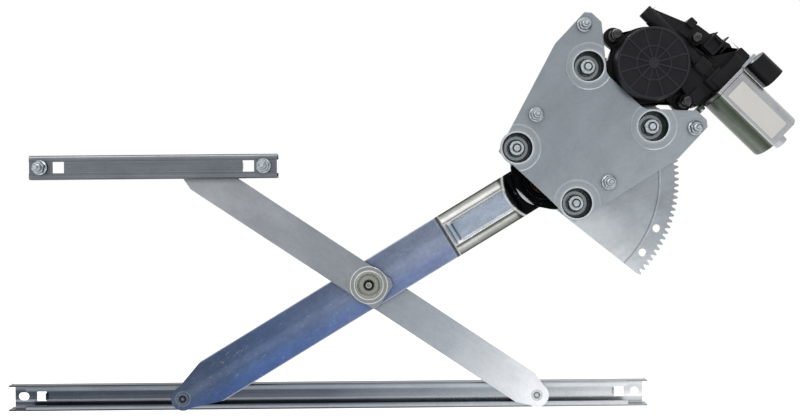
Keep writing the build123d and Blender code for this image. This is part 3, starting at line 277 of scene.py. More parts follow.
class RegulatorSheetMetal(bpy.types.PropertyGroup):
    """Colours and edges of the pressed and rolled sheet"""

    plate: colour_property("Plate", "Zinc coat of the mounting plate", "878E94")
    # painted reflection: the plate lighter towards the sector
    plate_sheen: colour_property("Plate, pale", "Zinc coat towards the sector", "A3AAAF")
    base: colour_property("Base plate", "Zinc coat of the plate behind", "8A9095")
    sector: colour_property("Sector", "Zinc coat near the mounting plate", "8D9398")
    # painted reflection: the sector lighter towards its free end
    sector_middle: colour_property("Sector, middle", "Zinc coat between its two ends", "9BA1A6")
    sector_end_sheen: colour_property("Sector, end", "Zinc coat at the free end", "C8CCD0")
    arm_high: colour_property("Lift arm, upper", "Passivated zinc at the trough", "8F97A3")
    arm_upper: colour_property("Lift arm, upper middle", "Passivated zinc below the trough", "838CA0")
    arm_middle: colour_property("Lift arm, middle", "Passivated zinc at the crossing", "667189")
    arm_low: colour_property("Lift arm, lower", "Bluer passivated zinc below the crossing", "475879")
    arm_nose: colour_property("Lift arm, nose", "Passivated zinc at the roller", "3D485B")
    front_half: colour_property("Equalizer, front", "Zinc coat of the front half at the crossing", "7C8086")
    # painted reflection: the front half lighter towards its roller
    front_middle: colour_property("Equalizer, front middle", "Zinc coat at the middle of the front", "8A8E94")
    front_end: colour_property("Equalizer, front end", "Zinc coat of the front half at its roller", "9A9EA2")
    rear_half: colour_property("Equalizer, rear", "Zinc coat of the rear half at the crossing", "7C838B")
    # painted reflection: the rear half lighter towards its roller, near white at its end
    rear_middle: colour_property("Equalizer, rear middle", "Zinc coat at the middle of the rear", "989EA4")
    rear_end: colour_property("Equalizer, rear end", "Zinc coat of the rear half at its roller", "D9DBDF")
    short_channel: colour_property("Fixed channel", "Zinc coat of the short channel", "676C72")
    long_left: colour_property("Glass channel, left", "Zinc coat of the long channel at its left", "424752")
    long_middle: colour_property("Glass channel, middle", "Zinc coat between the arms", "5B616D")
    # painted reflection: the glass channel lighter right of the arms, near white at its end
    long_right_sheen: colour_property("Glass channel, right", "Zinc coat right of the arms", "A0A7AE")
    long_end_sheen: colour_property("Glass channel, end", "Zinc coat at its right end", "E4E6E8")
    edge: length_property("Edge", "Rounding of a sheared edge", 0.35)


class RegulatorFasteners(bpy.types.PropertyGroup):
    """Studs, nuts and rivets"""

    coat: colour_property("Coat", "Bright zinc of the nuts and studs", "B0B8BD")
    edge: length_property("Edge", "Rounding of a nut's edges", 0.25)
    small_radius: length_property("Small radius", "Radius of a door stud's thread", 3.0)
    large_radius: length_property("Large radius", "Radius of a plate stud's thread", 4.0)
    small_pitch: length_property("Small pitch", "Thread pitch of the door studs", 1.0)
    large_pitch: length_property("Large pitch", "Thread pitch of the plate studs", 1.25)
    thread_depth: length_property("Thread depth", "Depth of a stud's thread", 0.55)
    head_radius: length_property("Head radius", "Radius of a stud's pressed-in head", 5.5)
    head_height: length_property("Head height", "Height of a stud's pressed-in head", 1.0)


class RegulatorDrive(bpy.types.PropertyGroup):
    """Motor, gearbox and connector"""

    nylon: colour_property("Nylon", "Black glass-filled nylon", "100F12")
    cover: colour_property("Cover", "Black nylon of the gear cover", "141317")
    rib: colour_property("Cover ribs", "Rubbed crests of the cover's ribs", "26262B")
    can: colour_property("Can", "Passivated zinc of the motor can", "A8AAAD")
    patch: colour_property("Patch", "Bare film on the can", "BDBBB8")
    patch_length: length_property("Patch length", "Length of the bare film", 53.0)
    patch_width: length_property("Patch width", "Width of the bare film", 18.6)
    patch_corner: length_property("Patch corner", "Corner radius of the bare film", 0.9)
    patch_shift: length_property("Patch shift", "How far the film lies from the can's middle, along it", 0.5)
    patch_wall: length_property("Patch wall", "Thickness of the bare film", 0.2)
    can_flat: length_property("Can flat", "Height of the can's flat over the worm axis", 18.0)
    edge: length_property("Edge", "Rounding of a moulded edge", 0.4)


class RegulatorStage(bpy.types.PropertyGroup):
    """Floor, lamps and camera"""

    floor: colour_property("Floor", "Pale studio floor", "E8E8E8")
    floor_drop: length_property("Floor drop", "Gap between the part and the floor", 45.0)
    eye: bpy.props.FloatVectorProperty(
        name="Eye",
        description="Place of the camera",
        subtype="TRANSLATION",
        default=(-0.1277, -0.795, -0.0260),
    )
    top_light: power_property("Top light", "Power of the strip above", 9)
    key_light: power_property("Key light", "Power of the left box", 4)
    rim_light: power_property("Rim light", "Power of the rear box", 5)
    lens: bpy.props.FloatProperty(name="Lens", description="Focal length in mm", default=40.5, min=10)
    roll: bpy.props.FloatProperty(
        name="Roll", description="Roll of the camera", subtype="ANGLE", default=radians(0.52)
    )


def add_node(tree, kind, inputs=None, output=0, **settings):
    """Adds a node with its settings and returns one output; an input takes a value or such an output."""
    node = tree.nodes.new(kind)
    for name, value in settings.items():
        setattr(node, name, value)
    for name, value in (inputs or {}).items():
        if isinstance(value, bpy.types.NodeSocket):
            tree.links.new(value, node.inputs[name])
        else:
            node.inputs[name].default_value = value
    return node.outputs[output] if node.outputs else None


def new_material(name):
    """An empty node material and its tree."""
    material = bpy.data.materials.new(name)
    material.use_nodes = True
    material.node_tree.nodes.clear()
    return material, material.node_tree


def surfaced(material, inputs):
    """Closes a material's tree with its surface and gives the material back."""
    shader = add_node(material.node_tree, "ShaderNodeBsdfPrincipled", inputs)
    add_node(material.node_tree, "ShaderNodeOutputMaterial", {"Surface": shader})
    return material


def object_place(tree, turn=0.0, stretch=1.0):
    """Object coordinates turned about Y, and squeezed along the grain so that a pattern runs out long."""
    place = add_node(tree, "ShaderNodeTexCoord", output="Object")
    turned = add_node(
        tree, "ShaderNodeMapping", {"Vector": place, "Rotation": (0, radians(turn), 0)}, vector_type="POINT"
    )
    return add_node(
        tree, "ShaderNodeMapping", {"Vector": turned, "Scale": (1 / stretch, 1, 1)}, vector_type="POINT"
    )


def share_between(tree, start, end):
    """How far a point lies from a start to an end, from 0 to 1, in the piece's own frame."""
    way = Vector(end) - Vector(start)
    place = add_node(tree, "ShaderNodeTexCoord", output="Object")
    offset = add_node(tree, "ShaderNodeVectorMath", {0: place, 1: start}, operation="SUBTRACT")
    share = add_node(
        tree,
        "ShaderNodeVectorMath",
        {0: offset, 1: way / way.length_squared},
        operation="DOT_PRODUCT",
        output="Value",
    )
    return add_node(tree, "ShaderNodeClamp", {"Value": share})


def measured(tree, at, way=None):
    """How far a point lies from a place: along a way or, with none, all round an axis to the viewer."""
    place = add_node(tree, "ShaderNodeTexCoord", output="Object")
    offset = add_node(tree, "ShaderNodeVectorMath", {0: place, 1: at}, operation="SUBTRACT")
    if way is not None:
        return add_node(
            tree, "ShaderNodeVectorMath", {0: offset, 1: way}, operation="DOT_PRODUCT", output="Value"
        )
    flat = add_node(tree, "ShaderNodeVectorMath", {0: offset, 1: (1, 0, 1)}, operation="MULTIPLY")
    return add_node(tree, "ShaderNodeVectorMath", {0: flat}, operation="LENGTH", output="Value")


def banded(tree, body, at, way, stops, within=None):
    """Lays bands over a colour; within is the place, way, start and end in mm that they are kept to."""
    first, last = stops[0][0], stops[-1][0]
    share = add_node(
        tree,
        "ShaderNodeMapRange",
        {"Value": measured(tree, at, way), "From Min": first * MM, "From Max": last * MM},
    )
    ramp = add_node(tree, "ShaderNodeValToRGB", {0: share}).node
    points = ramp.color_ramp.elements
    for distance, _, _ in stops[1:-1]:
        points.new((distance - first) / (last - first))
    for point, (_, colour, cover) in zip(points, stops):
        point.color = (*linear(colour), cover)
    cover = ramp.outputs["Alpha"]
    if within:
        middle, line, near, far = within
        reach = measured(tree, middle, line)
        for edge, side in ((near, 1), (far, -1)):
            inside = add_node(
                tree,
                "ShaderNodeMapRange",
                {
                    "Value": reach,
                    "From Min": (edge - BAND_BLUR * side) * MM,
                    "From Max": (edge + BAND_BLUR * side) * MM,
                },
            )
            cover = add_node(tree, "ShaderNodeMath", {0: cover, 1: inside}, operation="MULTIPLY")
    inputs = {0: cover, 6: body, 7: ramp.outputs[0]}
    return add_node(tree, "ShaderNodeMix", inputs, data_type="RGBA", output=2)


def shaded_in_corners(tree, tone, depth, reach=0.005):
    """Paints shade into a colour where the surface is hemmed in: in corners, under heads and between parts.
    """
    open_share = add_node(
        tree, "ShaderNodeAmbientOcclusion", {"Distance": reach}, samples=6, only_local=False, output="AO"
    )
    light = add_node(tree, "ShaderNodeMapRange", {"Value": open_share, "To Min": 1 - depth, "To Max": 1.0})
    return add_node(tree, "ShaderNodeVectorMath", {0: tone, 3: light}, operation="SCALE")


def zinc_coat(
    name,
    tones,
    line,
    turn=0.0,
    roughness=0.34,
    cloud=0.10,
    lines=0.06,
    scratch=0.3,
    speckle=0.16,
    corner_shade=0.7,
    bands=(),
):
    """Bright zinc on cold-rolled sheet: a soft grey mirror with clouds, rolling lines and fine scratches,
    with painted shade in its corners.
    """
    material, tree = new_material(name)
    share = share_between(tree, *line)
    body = opaque(tones[0])
    # tones along the line: the sheet's own grey, with painted reflection where they lighten towards an end
    for index, tone in enumerate(tones[1:]):
        step = add_node(
            tree,
            "ShaderNodeMath",
            {0: share, 1: float(len(tones) - 1), 2: -float(index)},
            operation="MULTIPLY_ADD",
            use_clamp=True,
        )
        body = add_node(
            tree, "ShaderNodeMix", {0: step, 6: body, 7: opaque(tone)}, data_type="RGBA", output=2
        )
    for band in bands:
        body = banded(tree, body, *band)
    clouds, rolled, marks, scuffs, grain = (
        add_node(
            tree,
            "ShaderNodeTexNoise",
            {
                "Vector": object_place(tree, turn + skew, stretch),
                "Scale": 1 / size,
                "Detail": detail,
                "Roughness": decay,
            },
        )
        for skew, stretch, size, detail, decay in COAT_NOISES
    )
    marks = add_node(
        tree, "ShaderNodeMapRange", {"Value": marks, "From Min": 0.60, "From Max": 0.72}, clamp=True
    )
    scuffs = add_node(
        tree, "ShaderNodeMapRange", {"Value": scuffs, "From Min": 0.50, "From Max": 0.66}, clamp=True
    )
    marks = add_node(tree, "ShaderNodeMath", {0: marks, 1: scuffs}, operation="MULTIPLY")
    marks = add_node(tree, "ShaderNodeMath", {0: marks, 1: scratch}, operation="MULTIPLY")
    # brightness of the coat: 1 with the clouds, the crystals and the lines about it
    light = add_node(
        tree,
        "ShaderNodeMapRange",
        {"Value": clouds, "From Min": 0.3, "From Max": 0.7, "To Min": 1 - cloud, "To Max": 1 + cloud},
    )
    light = add_node(tree, "ShaderNodeMath", {0: rolled, 1: 2 * lines, 2: light}, operation="MULTIPLY_ADD")
    light = add_node(tree, "ShaderNodeMath", {0: grain, 1: 2 * speckle, 2: light}, operation="MULTIPLY_ADD")
    light = add_node(tree, "ShaderNodeMath", {0: light, 1: lines + speckle}, operation="SUBTRACT")
    tone = add_node(tree, "ShaderNodeVectorMath", {0: body, 3: light}, operation="SCALE")
    bare = opaque(linear(SCRATCHED_ZINC))
    tone = add_node(tree, "ShaderNodeMix", {0: marks, 6: tone, 7: bare}, data_type="RGBA", output=2)
    # painted shade in corners and between parts, from ambient occlusion
    tone = shaded_in_corners(tree, tone, corner_shade)
    rough = add_node(
        tree,
        "ShaderNodeMapRange",
        {"Value": clouds, "To Min": roughness - 0.06, "To Max": roughness + 0.08},
    )
    rough = add_node(tree, "ShaderNodeMath", {0: marks, 1: 0.25, 2: rough}, operation="MULTIPLY_ADD")
    relief = add_node(tree, "ShaderNodeMath", {0: rolled, 1: 0.05, 2: clouds}, operation="MULTIPLY_ADD")
    bump = add_node(tree, "ShaderNodeBump", {"Height": relief, "Strength": 0.25, "Distance": 0.0006})
    return surfaced(material, {"Base Color": tone, "Metallic": 1.0, "Roughness": rough, "Normal": bump})


def plain_zinc(name, colour, roughness=0.28, fleck=0.3, bands=()):
    """Bright zinc on a turned or headed fastener: shinier than sheet, with painted shade in its corners and
    on its sides.
    """
    material, tree = new_material(name)
    flecks = add_node(
        tree,
        "ShaderNodeTexNoise",
        {"Vector": object_place(tree), "Scale": 1 / 0.0018, "Detail": 4.0, "Roughness": 0.65},
    )
    light = add_node(
        tree,
        "ShaderNodeMapRange",
        {"Value": flecks, "From Min": 0.3, "From Max": 0.7, "To Min": 1 - fleck, "To Max": 1 + fleck},
    )
    body = opaque(colour) if bands else colour[:3]
    for band in bands:
        body = banded(tree, body, *band)
    # painted shade on the sides: the more a face leans away from front or back, the darker it is
    normal = add_node(tree, "ShaderNodeNewGeometry", output="Normal")
    lean = add_node(
        tree, "ShaderNodeVectorMath", {0: normal, 1: (0, 1, 0)}, operation="DOT_PRODUCT", output="Value"
    )
    flat = add_node(tree, "ShaderNodeMath", {0: lean}, operation="ABSOLUTE")
    flank_shade = add_node(
        tree,
        "ShaderNodeMapRange",
        {"Value": flat, "From Min": 0.35, "From Max": 0.97, "To Min": 0.30, "To Max": 1.0},
    )
    light = add_node(tree, "ShaderNodeMath", {0: light, 1: flank_shade}, operation="MULTIPLY")
    tone = add_node(tree, "ShaderNodeVectorMath", {0: body, 3: light}, operation="SCALE")
    tone = shaded_in_corners(tree, tone, 0.85, 0.003)
    rough = add_node(
        tree,
        "ShaderNodeMapRange",
        {"Value": flecks, "To Min": roughness - 0.08, "To Max": roughness + 0.12},
    )
    return surfaced(material, {"Base Color": tone, "Metallic": 1.0, "Roughness": rough})


def moulded_nylon(name, colour, roughness=0.42, grain=0.0009, crest=None, crest_height=0.0):
    """Glass-filled nylon from a spark-eroded mould: nearly black, finely grained, lighter on its crests."""
    material, tree = new_material(name)
    grains = add_node(
        tree, "ShaderNodeTexNoise", {"Vector": object_place(tree), "Scale": 1 / grain, "Detail": 3.0}
    )
    flow = add_node(
        tree, "ShaderNodeTexNoise", {"Vector": object_place(tree), "Scale": 1 / 0.016, "Detail": 2.0}
    )
    light = add_node(
        tree,
        "ShaderNodeMapRange",
        {"Value": flow, "From Min": 0.3, "From Max": 0.7, "To Min": 0.8, "To Max": 1.25},
    )
    tone = add_node(tree, "ShaderNodeVectorMath", {0: colour[:3], 3: light}, operation="SCALE")
    if crest:
        place = add_node(tree, "ShaderNodeTexCoord", output="Object")
        height = add_node(tree, "ShaderNodeSeparateXYZ", {0: place}, output="Y")
        crest_share = add_node(
            tree,
            "ShaderNodeMapRange",
            {"Value": height, "From Min": -crest_height + 0.3 * MM, "From Max": -crest_height},
            clamp=True,
        )
        tone = add_node(
            tree, "ShaderNodeMix", {0: crest_share, 6: tone, 7: opaque(crest)}, data_type="RGBA", output=2
        )
    rough = add_node(
        tree, "ShaderNodeMapRange", {"Value": flow, "To Min": roughness - 0.08, "To Max": roughness + 0.1}
    )
    bump = add_node(tree, "ShaderNodeBump", {"Height": grains, "Strength": 0.35, "Distance": 0.0001})
    return surfaced(
        material,
        {"Base Color": tone, "Roughness": rough, "Normal": bump, "Specular IOR Level": 0.16},
    )


def natural_nylon(name):
    """Unfilled nylon for rollers and the worm wheel: creamy and a little waxy."""
    material, tree = new_material(name)
    flow = add_node(
        tree, "ShaderNodeTexNoise", {"Vector": object_place(tree), "Scale": 1 / 0.008, "Detail": 3.0}
    )
    tone = add_node(
        tree,
        "ShaderNodeMix",
        {0: flow, 6: opaque(linear("D9D3BF")), 7: opaque(linear("EDE9DA"))},
        data_type="RGBA",
        output=2,
    )
    rough = add_node(tree, "ShaderNodeMapRange", {"Value": flow, "To Min": 0.3, "To Max": 0.5})
    return surfaced(material, {"Base Color": tone, "Roughness": rough, "IOR": 1.53})


def grained_metal(name, low, high, roughness, grain, metallic=1.0):
    """Metal, ferrite or carbon with a fleck of two tones at the size of its grain or tool marks."""
    material, tree = new_material(name)
    flecks = add_node(
        tree, "ShaderNodeTexNoise", {"Vector": object_place(tree), "Scale": 1 / grain, "Detail": 3.0}
    )
    tone = add_node(
        tree,
        "ShaderNodeMix",
        {0: flecks, 6: opaque(linear(low)), 7: opaque(linear(high))},
        data_type="RGBA",
        output=2,
    )
    rough = add_node(
        tree, "ShaderNodeMapRange", {"Value": flecks, "To Min": roughness - 0.06, "To Max": roughness + 0.1}
    )
    bump = add_node(tree, "ShaderNodeBump", {"Height": flecks, "Strength": 0.15, "Distance": 0.0001})
    return surfaced(
        material,
        {"Base Color": tone, "Metallic": metallic, "Roughness": rough, "Normal": bump},
    )


def bare_film(name, colour):
    """Printable vinyl film with nothing on it: pale, even and faintly wavy."""
    material, tree = new_material(name)
    waves = add_node(
        tree, "ShaderNodeTexNoise", {"Vector": object_place(tree), "Scale": 1 / 0.02, "Detail": 2.0}
    )
    light = add_node(tree, "ShaderNodeMapRange", {"Value": waves, "To Min": 0.94, "To Max": 1.04})
    tone = add_node(tree, "ShaderNodeVectorMath", {0: colour[:3], 3: light}, operation="SCALE")
    bump = add_node(tree, "ShaderNodeBump", {"Height": waves, "Strength": 0.1, "Distance": 0.0004})
    return surfaced(material, {"Base Color": tone, "Roughness": 0.45, "Normal": bump})


def body_of(node):
    """The body that a CAD node rides on."""
    return frame["nodes"][node]["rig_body"]


def paint(nodes, material):
    """Gives CAD nodes that stay in view or inside the part their material."""
    for node in nodes:
        mesh_object = frame["nodes"][node]
        mesh_object.data.materials.clear()
        mesh_object.data.materials.append(material)


def finish_piece(name, mesh, material, body):
    """Turns a bmesh into an object at the origin that rides on a body, smooth but for its sharp edges."""
    data = bpy.data.meshes.new(name)
    mesh.to_mesh(data)
    mesh.free()
    data.polygons.foreach_set("use_smooth", [True] * len(data.polygons))
    data.set_sharp_from_angle(angle=radians(SMOOTH_ANGLE))
    data.materials.append(material)
    piece = bpy.data.objects.new(name, data)
    bpy.context.scene.collection.objects.link(piece)
    weighted = piece.modifiers.new("weighted_normals", "WEIGHTED_NORMAL")
    weighted.keep_sharp = True
    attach(piece, body)
    return piece


def merged(node):
    """A bmesh of a CAD node whose loose triangles share their corners."""
    mesh = bmesh.new()
    mesh.from_mesh(frame["nodes"][node].data)
    bmesh.ops.remove_doubles(mesh, verts=mesh.verts, dist=MERGE)
    return mesh


def rounded(node, material, width, segments=2, rims_only=False, shares=(1.0,)):
    """A copy of a CAD node with its seams merged and its sharp edges rounded, shown in the node's place."""
    source = merged(node)
    bmesh.ops.dissolve_limit(
        source, angle_limit=radians(FLAT_ANGLE), verts=source.verts, edges=source.edges
    )
    # a width that would fold a short facet over its neighbour gives way to a narrower one
    for share in shares:
        mesh = source.copy()
        edges = [e for e in mesh.edges if e.is_manifold and e.calc_face_angle() > radians(SHARP_ANGLE)]
        if rims_only:
            edges = [e for e in edges if max(abs(face.normal.y) for face in e.link_faces) > 0.99]
        bmesh.ops.bevel(
            mesh,
            geom=edges,
            affect="EDGES",
            offset=width * share,
            offset_type="OFFSET",
            segments=segments,
            profile=0.5,
            clamp_overlap=False,
            material=-1,
        )
        mesh.normal_update()
        folded = any(e.is_manifold and e.calc_face_angle() > radians(FOLD_ANGLE) for e in mesh.edges)
        change = abs(mesh.calc_volume() / source.calc_volume() - 1)
        if share == shares[-1] or (not folded and change < VOLUME_SHARE):
            break
        mesh.free()
    source.free()
    piece = finish_piece(node + "_finished", mesh, material, body_of(node))
    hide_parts(node)


class REGULATOR_OT_plates(bpy.types.Operator):
    """Finishes the two plates"""

    bl_idname = "regulator.plates"
    bl_label = "Plates"

    def execute(self, context):
        metal = context.scene.regulator_sheet_metal
        low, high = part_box("mounting_plate")
        line = ((low.x, 0, high.z), (high.x, 0, low.z))
        bands = []
        for x, z in loose_centres("plate_studs"):
            axis = (x, 0, z)
            # painted highlights round each dish and painted shade down in it
            bands.append((axis, None, DISH_RIM_HIGHLIGHT))
            bands.append((axis, -VIEWER, DISH_HOLLOW_SHADE, (axis, None, -1, DISH_RADIUS)))
        coat = zinc_coat(
            "zinc_plate",
            (metal.plate, metal.plate, metal.plate_sheen),
            line,
            turn=PLATE_GRAIN,
            cloud=0.07,
            lines=0.02,
            scratch=0.15,
            bands=bands,
        )
        rounded("mounting_plate", coat, metal.edge)
        shade = zinc_coat(
            "zinc_base_plate",
            (metal.base, metal.base),
            line,
            turn=PLATE_GRAIN,
            roughness=0.4,
            # painted shade, near black, at the end by the pivot, with a painted highlight on its rim
            bands=((joint_at["lift_arm_pivot"], None, BASE_END_SHADE),),
        )
        rounded("base_plate", shade, metal.edge)
        return {"FINISHED"}


class REGULATOR_OT_arms(bpy.types.Operator):
    """Finishes the lift arm, the two halves of the equalizer arm and their washer"""

    bl_idname = "regulator.arms"
    bl_label = "Arms"

    def execute(self, context):
        metal = context.scene.regulator_sheet_metal
        pivot, cross = joint_at["lift_arm_pivot"], joint_at["equalizer_pivot"]
        lift_end, rear_end = joint_at["lift_roller_pivot"], joint_at["lower_roller_spin"]
        front_end = joint_at["upper_roller_spin"]
        down = (lift_end - pivot).normalized()
        up = VIEWER.cross(down)
        back = (0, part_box("lift_arm")[1].y, 0)
        blue = zinc_coat(
            "zinc_lift_arm",
            (metal.arm_high, metal.arm_upper, metal.arm_middle, metal.arm_low, metal.arm_nose),
            (pivot, lift_end),
            turn=LIFT_GRAIN,
            cloud=0.16,
            lines=0.05,
            scratch=0.8,
            speckle=0.34,
            # most of these bands are painted highlights and painted shade: the trough's ridges, its foot and
            # crease, the shoulders, the head and the ring round the nose
            bands=(
                (pivot, up, ARM_ACROSS, (pivot, down, *BELOW_TROUGH)),
                (pivot, up, TROUGH_SHADING, (pivot, down, *TROUGH)),
                (pivot, down, TROUGH_FOOT_SHADE, (pivot, up, *TROUGH_FLOOR)),
                (pivot, down, ARM_CREASE_SHADING),
                (pivot, down, ARM_SHOULDER_SHADOW, (pivot, up, *LOWER_SHOULDER)),
                (pivot, down, ARM_SHOULDER_SHADOW, (pivot, up, *UPPER_SHOULDER)),
                (pivot, None, ARM_HEAD_SHADE, (back, VIEWER, *HEAD_FRONT)),
                (lift_end, None, NOSE_RING_SHADING),
            ),
        )
        rounded("lift_arm", blue, metal.edge)
        front = zinc_coat(
            "zinc_equalizer_front",
            (metal.front_half, metal.front_middle, metal.front_end),
            (cross, front_end),
            turn=CROSS_GRAIN,
            scratch=0.35,
            bands=((cross, None, BOSS_RING_SHADING),),
        )
        rounded("equalizer_front_arm", front, metal.edge)
        rounded("centre_washer", front, metal.edge / 2)
        rear = zinc_coat(
            "zinc_equalizer_rear",
            (metal.rear_half, metal.rear_middle, metal.rear_end),
            (cross, rear_end),
            turn=CROSS_GRAIN,
            cloud=0.08,
            scratch=0.45,
        )
        rounded("equalizer_rear_arm", rear, metal.edge)
        return {"FINISHED"}


class REGULATOR_OT_sector(bpy.types.Operator):
    """Finishes the toothed sector"""

    bl_idname = "regulator.sector"
    bl_label = "Sector"

    def execute(self, context):
        metal = context.scene.regulator_sheet_metal
        low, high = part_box("sector_gear")
        coat = zinc_coat(
            "zinc_sector",
            (metal.sector, metal.sector_middle, metal.sector_end_sheen),
            ((high.x, 0, 0.1 * low.z), (0.6 * high.x, 0, low.z)),
            turn=SECTOR_GRAIN,
            cloud=0.14,
            scratch=0.5,
            bands=((joint_at["lift_arm_pivot"], None, RIM_LINE),),
        )
        rounded("sector_gear", coat, metal.edge / 2, rims_only=True)
        return {"FINISHED"}


class REGULATOR_OT_channels(bpy.types.Operator):
    """Finishes the fixed channel and the glass channel"""

    bl_idname = "regulator.channels"
    bl_label = "Channels"

    def execute(self, context):
        metal = context.scene.regulator_sheet_metal
        low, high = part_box("fixed_channel")
        short = zinc_coat(
            "zinc_fixed_channel",
            (metal.short_channel, metal.short_channel),
            (low, high),
            roughness=0.3,
            lines=0.12,
            bands=(((low + high) / 2, UPWARDS, FIXED_FOLD_SHADING),),
        )
        rounded("fixed_channel", short, metal.edge / 2)
        low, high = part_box("glass_channel")
        long = zinc_coat(
            "zinc_glass_channel",
            (metal.long_left, metal.long_left, metal.long_middle, metal.long_right_sheen, metal.long_end_sheen),
            (low, (high.x, low.y, low.z)),
            roughness=0.28,
            lines=0.12,
            corner_shade=0.3,
            bands=(((low + high) / 2, UPWARDS, GLASS_FOLD_SHADING),),
        )
        rounded("glass_channel", long, metal.edge / 2)
        return {"FINISHED"}


def spun_outline(mesh, at, outline, steps=32):
    """Spins an outline of radius and height points, in metres, about an axis that points to the viewer."""
    verts = [mesh.verts.new((at[0] + radius, -height, at[1])) for radius, height in outline]
    edges = [mesh.edges.new(pair) for pair in zip(verts, verts[1:])]
    bmesh.ops.spin(
        mesh,
        geom=verts + edges,
        cent=(at[0], 0, at[1]),
        axis=(0, -1, 0),
        angle=2 * pi,
        steps=steps,
        use_merge=True,
    )


def helix_thread(mesh, at, low, high, core, crest, pitch, steps=20):
    """Winds a ridge of triangular section round a stud's core, from a low height to a high one."""
    turns = (high - low) / pitch
    foot = THREAD_FOOT * pitch
    section = [
        mesh.verts.new((at[0] + radius, -height, at[1]))
        for radius, height in ((core, low - foot), (crest, low), (core, low + foot))
    ]
    face = mesh.faces.new(section)
    count = round(steps * turns)
    bmesh.ops.spin(
        mesh,
        geom=[face] + section + list(face.edges),
        cent=(at[0], 0, at[1]),
        axis=(0, -1, 0),
        dvec=(0, -(high - low) / count, 0),
        angle=2 * pi * turns,
        steps=count,
    )


def loose_centres(node):
    """The middle of each loose solid in a CAD node, in X and Z."""
    mesh = merged(node)
    left = set(mesh.verts)
    centres = []
    while left:
        island = {left.pop()}
        edge = list(island)
        while edge:
            near = {e.other_vert(v) for v in edge for e in v.link_edges} - island
            island |= near
            edge = list(near)
        left -= island
        xs = [v.co.x for v in island]
        zs = [v.co.z for v in island]
        centres.append(((min(xs) + max(xs)) / 2, (min(zs) + max(zs)) / 2))
    mesh.free()
    return sorted(centres)


class REGULATOR_OT_fasteners(bpy.types.Operator):
    """Makes threaded studs and finishes the nuts, rivets and screws"""

    bl_idname = "regulator.fasteners"
    bl_label = "Fasteners"

    def execute(self, context):
        sizes = context.scene.regulator_fasteners
        coat = plain_zinc("bright_zinc", sizes.coat)
        for node, radius, pitch in (
            ("plate_studs", sizes.large_radius, sizes.large_pitch),
            ("door_studs", sizes.small_radius, sizes.small_pitch),
            ("fixed_channel_studs", sizes.small_radius, sizes.small_pitch),
        ):
            low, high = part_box(node)
            back, tip = -high.y, -low.y
            mesh = bmesh.new()
            core = radius - sizes.thread_depth
            seat = back + sizes.head_height
            outline = [(0, back), (sizes.head_radius, back), (sizes.head_radius, seat), (core, seat)]
            outline += [(core, tip - pitch), (core - TIP_CHAMFER, tip), (0, tip)]
            for at in loose_centres(node):
                spun_outline(mesh, at, outline)
                first, last = seat + 2 * pitch, tip - 1.2 * pitch
                helix_thread(mesh, at, first, last, core - THREAD_SINK, radius, pitch)
            bmesh.ops.remove_doubles(mesh, verts=mesh.verts, dist=MERGE)
            bmesh.ops.recalc_face_normals(mesh, faces=mesh.faces)
            piece = finish_piece(node + "_threaded", mesh, coat, body_of(node))
            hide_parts(node)
        for node in ("plate_nuts", "door_stud_nuts", "fixed_channel_nuts", "yoke_screws"):
            rounded(node, coat, sizes.edge, shares=NUT_SHARES)
        pins = ("sector_rivets", "main_pivot_pin", "pivot_retaining_ring", "upper_roller_pin", "pinion_clip")
        for node in pins:
            rounded(node, coat, sizes.edge)
        # painted highlights and painted shade of the rings and dimples on these heads
        for node, joint, rings in (
            ("centre_pivot_rivet", "equalizer_pivot", RIVET_RING_SHADING),
            ("lift_roller_pin", "lift_roller_pivot", NOSE_DIMPLE_SHADING),
            ("lower_roller_pin", "lower_roller_spin", END_DIMPLE_SHADING),
        ):
            ringed = plain_zinc(node + "_zinc", sizes.coat, bands=((joint_at[joint], None, rings),))
            rounded(node, ringed, sizes.edge)
        return {"FINISHED"}


class REGULATOR_OT_spring(bpy.types.Operator):
    """Finishes the counterbalance spring and the post that holds it"""

    bl_idname = "regulator.spring"
    bl_label = "Spring"

    def execute(self, context):
        oiled = grained_metal("oiled_spring_steel", "08080A", "121215", 0.25, 0.004)
        rounded("counterbalance_spring", oiled, STRIP_EDGE)
        paint(["spring_anchor"], plain_zinc("zinc_anchor", context.scene.regulator_fasteners.coat))
        return {"FINISHED"}


def motor_frame():
    """Axes along the worm, away from the pinion and to the viewer, from the worm's foot, as a matrix."""
    joint = next(joint for joint in frame["joints"] if joint["name"] == "armature_spin")
    way = Vector(joint["axis"]).normalized()
    across = VIEWER.cross(way)
    return Matrix.Translation(joint["pos_m"]) @ Matrix((way, across, VIEWER)).transposed().to_4x4()


class REGULATOR_OT_gearbox(bpy.types.Operator):
    """Finishes the gear housing, its ribbed cover and its screws"""

    bl_idname = "regulator.gearbox"
    bl_label = "Gearbox"

    def execute(self, context):
        drive = context.scene.regulator_drive
        nylon = moulded_nylon("black_nylon", drive.nylon)
        rounded("gear_housing", nylon, drive.edge)
        crest_height = -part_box("gear_cover")[0].y
        cover = moulded_nylon(
            "cover_nylon", drive.cover, roughness=0.38, crest=drive.rib, crest_height=crest_height
        )
        rounded("gear_cover", cover, drive.edge / 2)
        black = grained_metal("black_oxide", "0A0A0C", "141417", 0.2, 0.002, metallic=0.0)
        rounded("motor_screws", black, drive.edge)
        return {"FINISHED"}


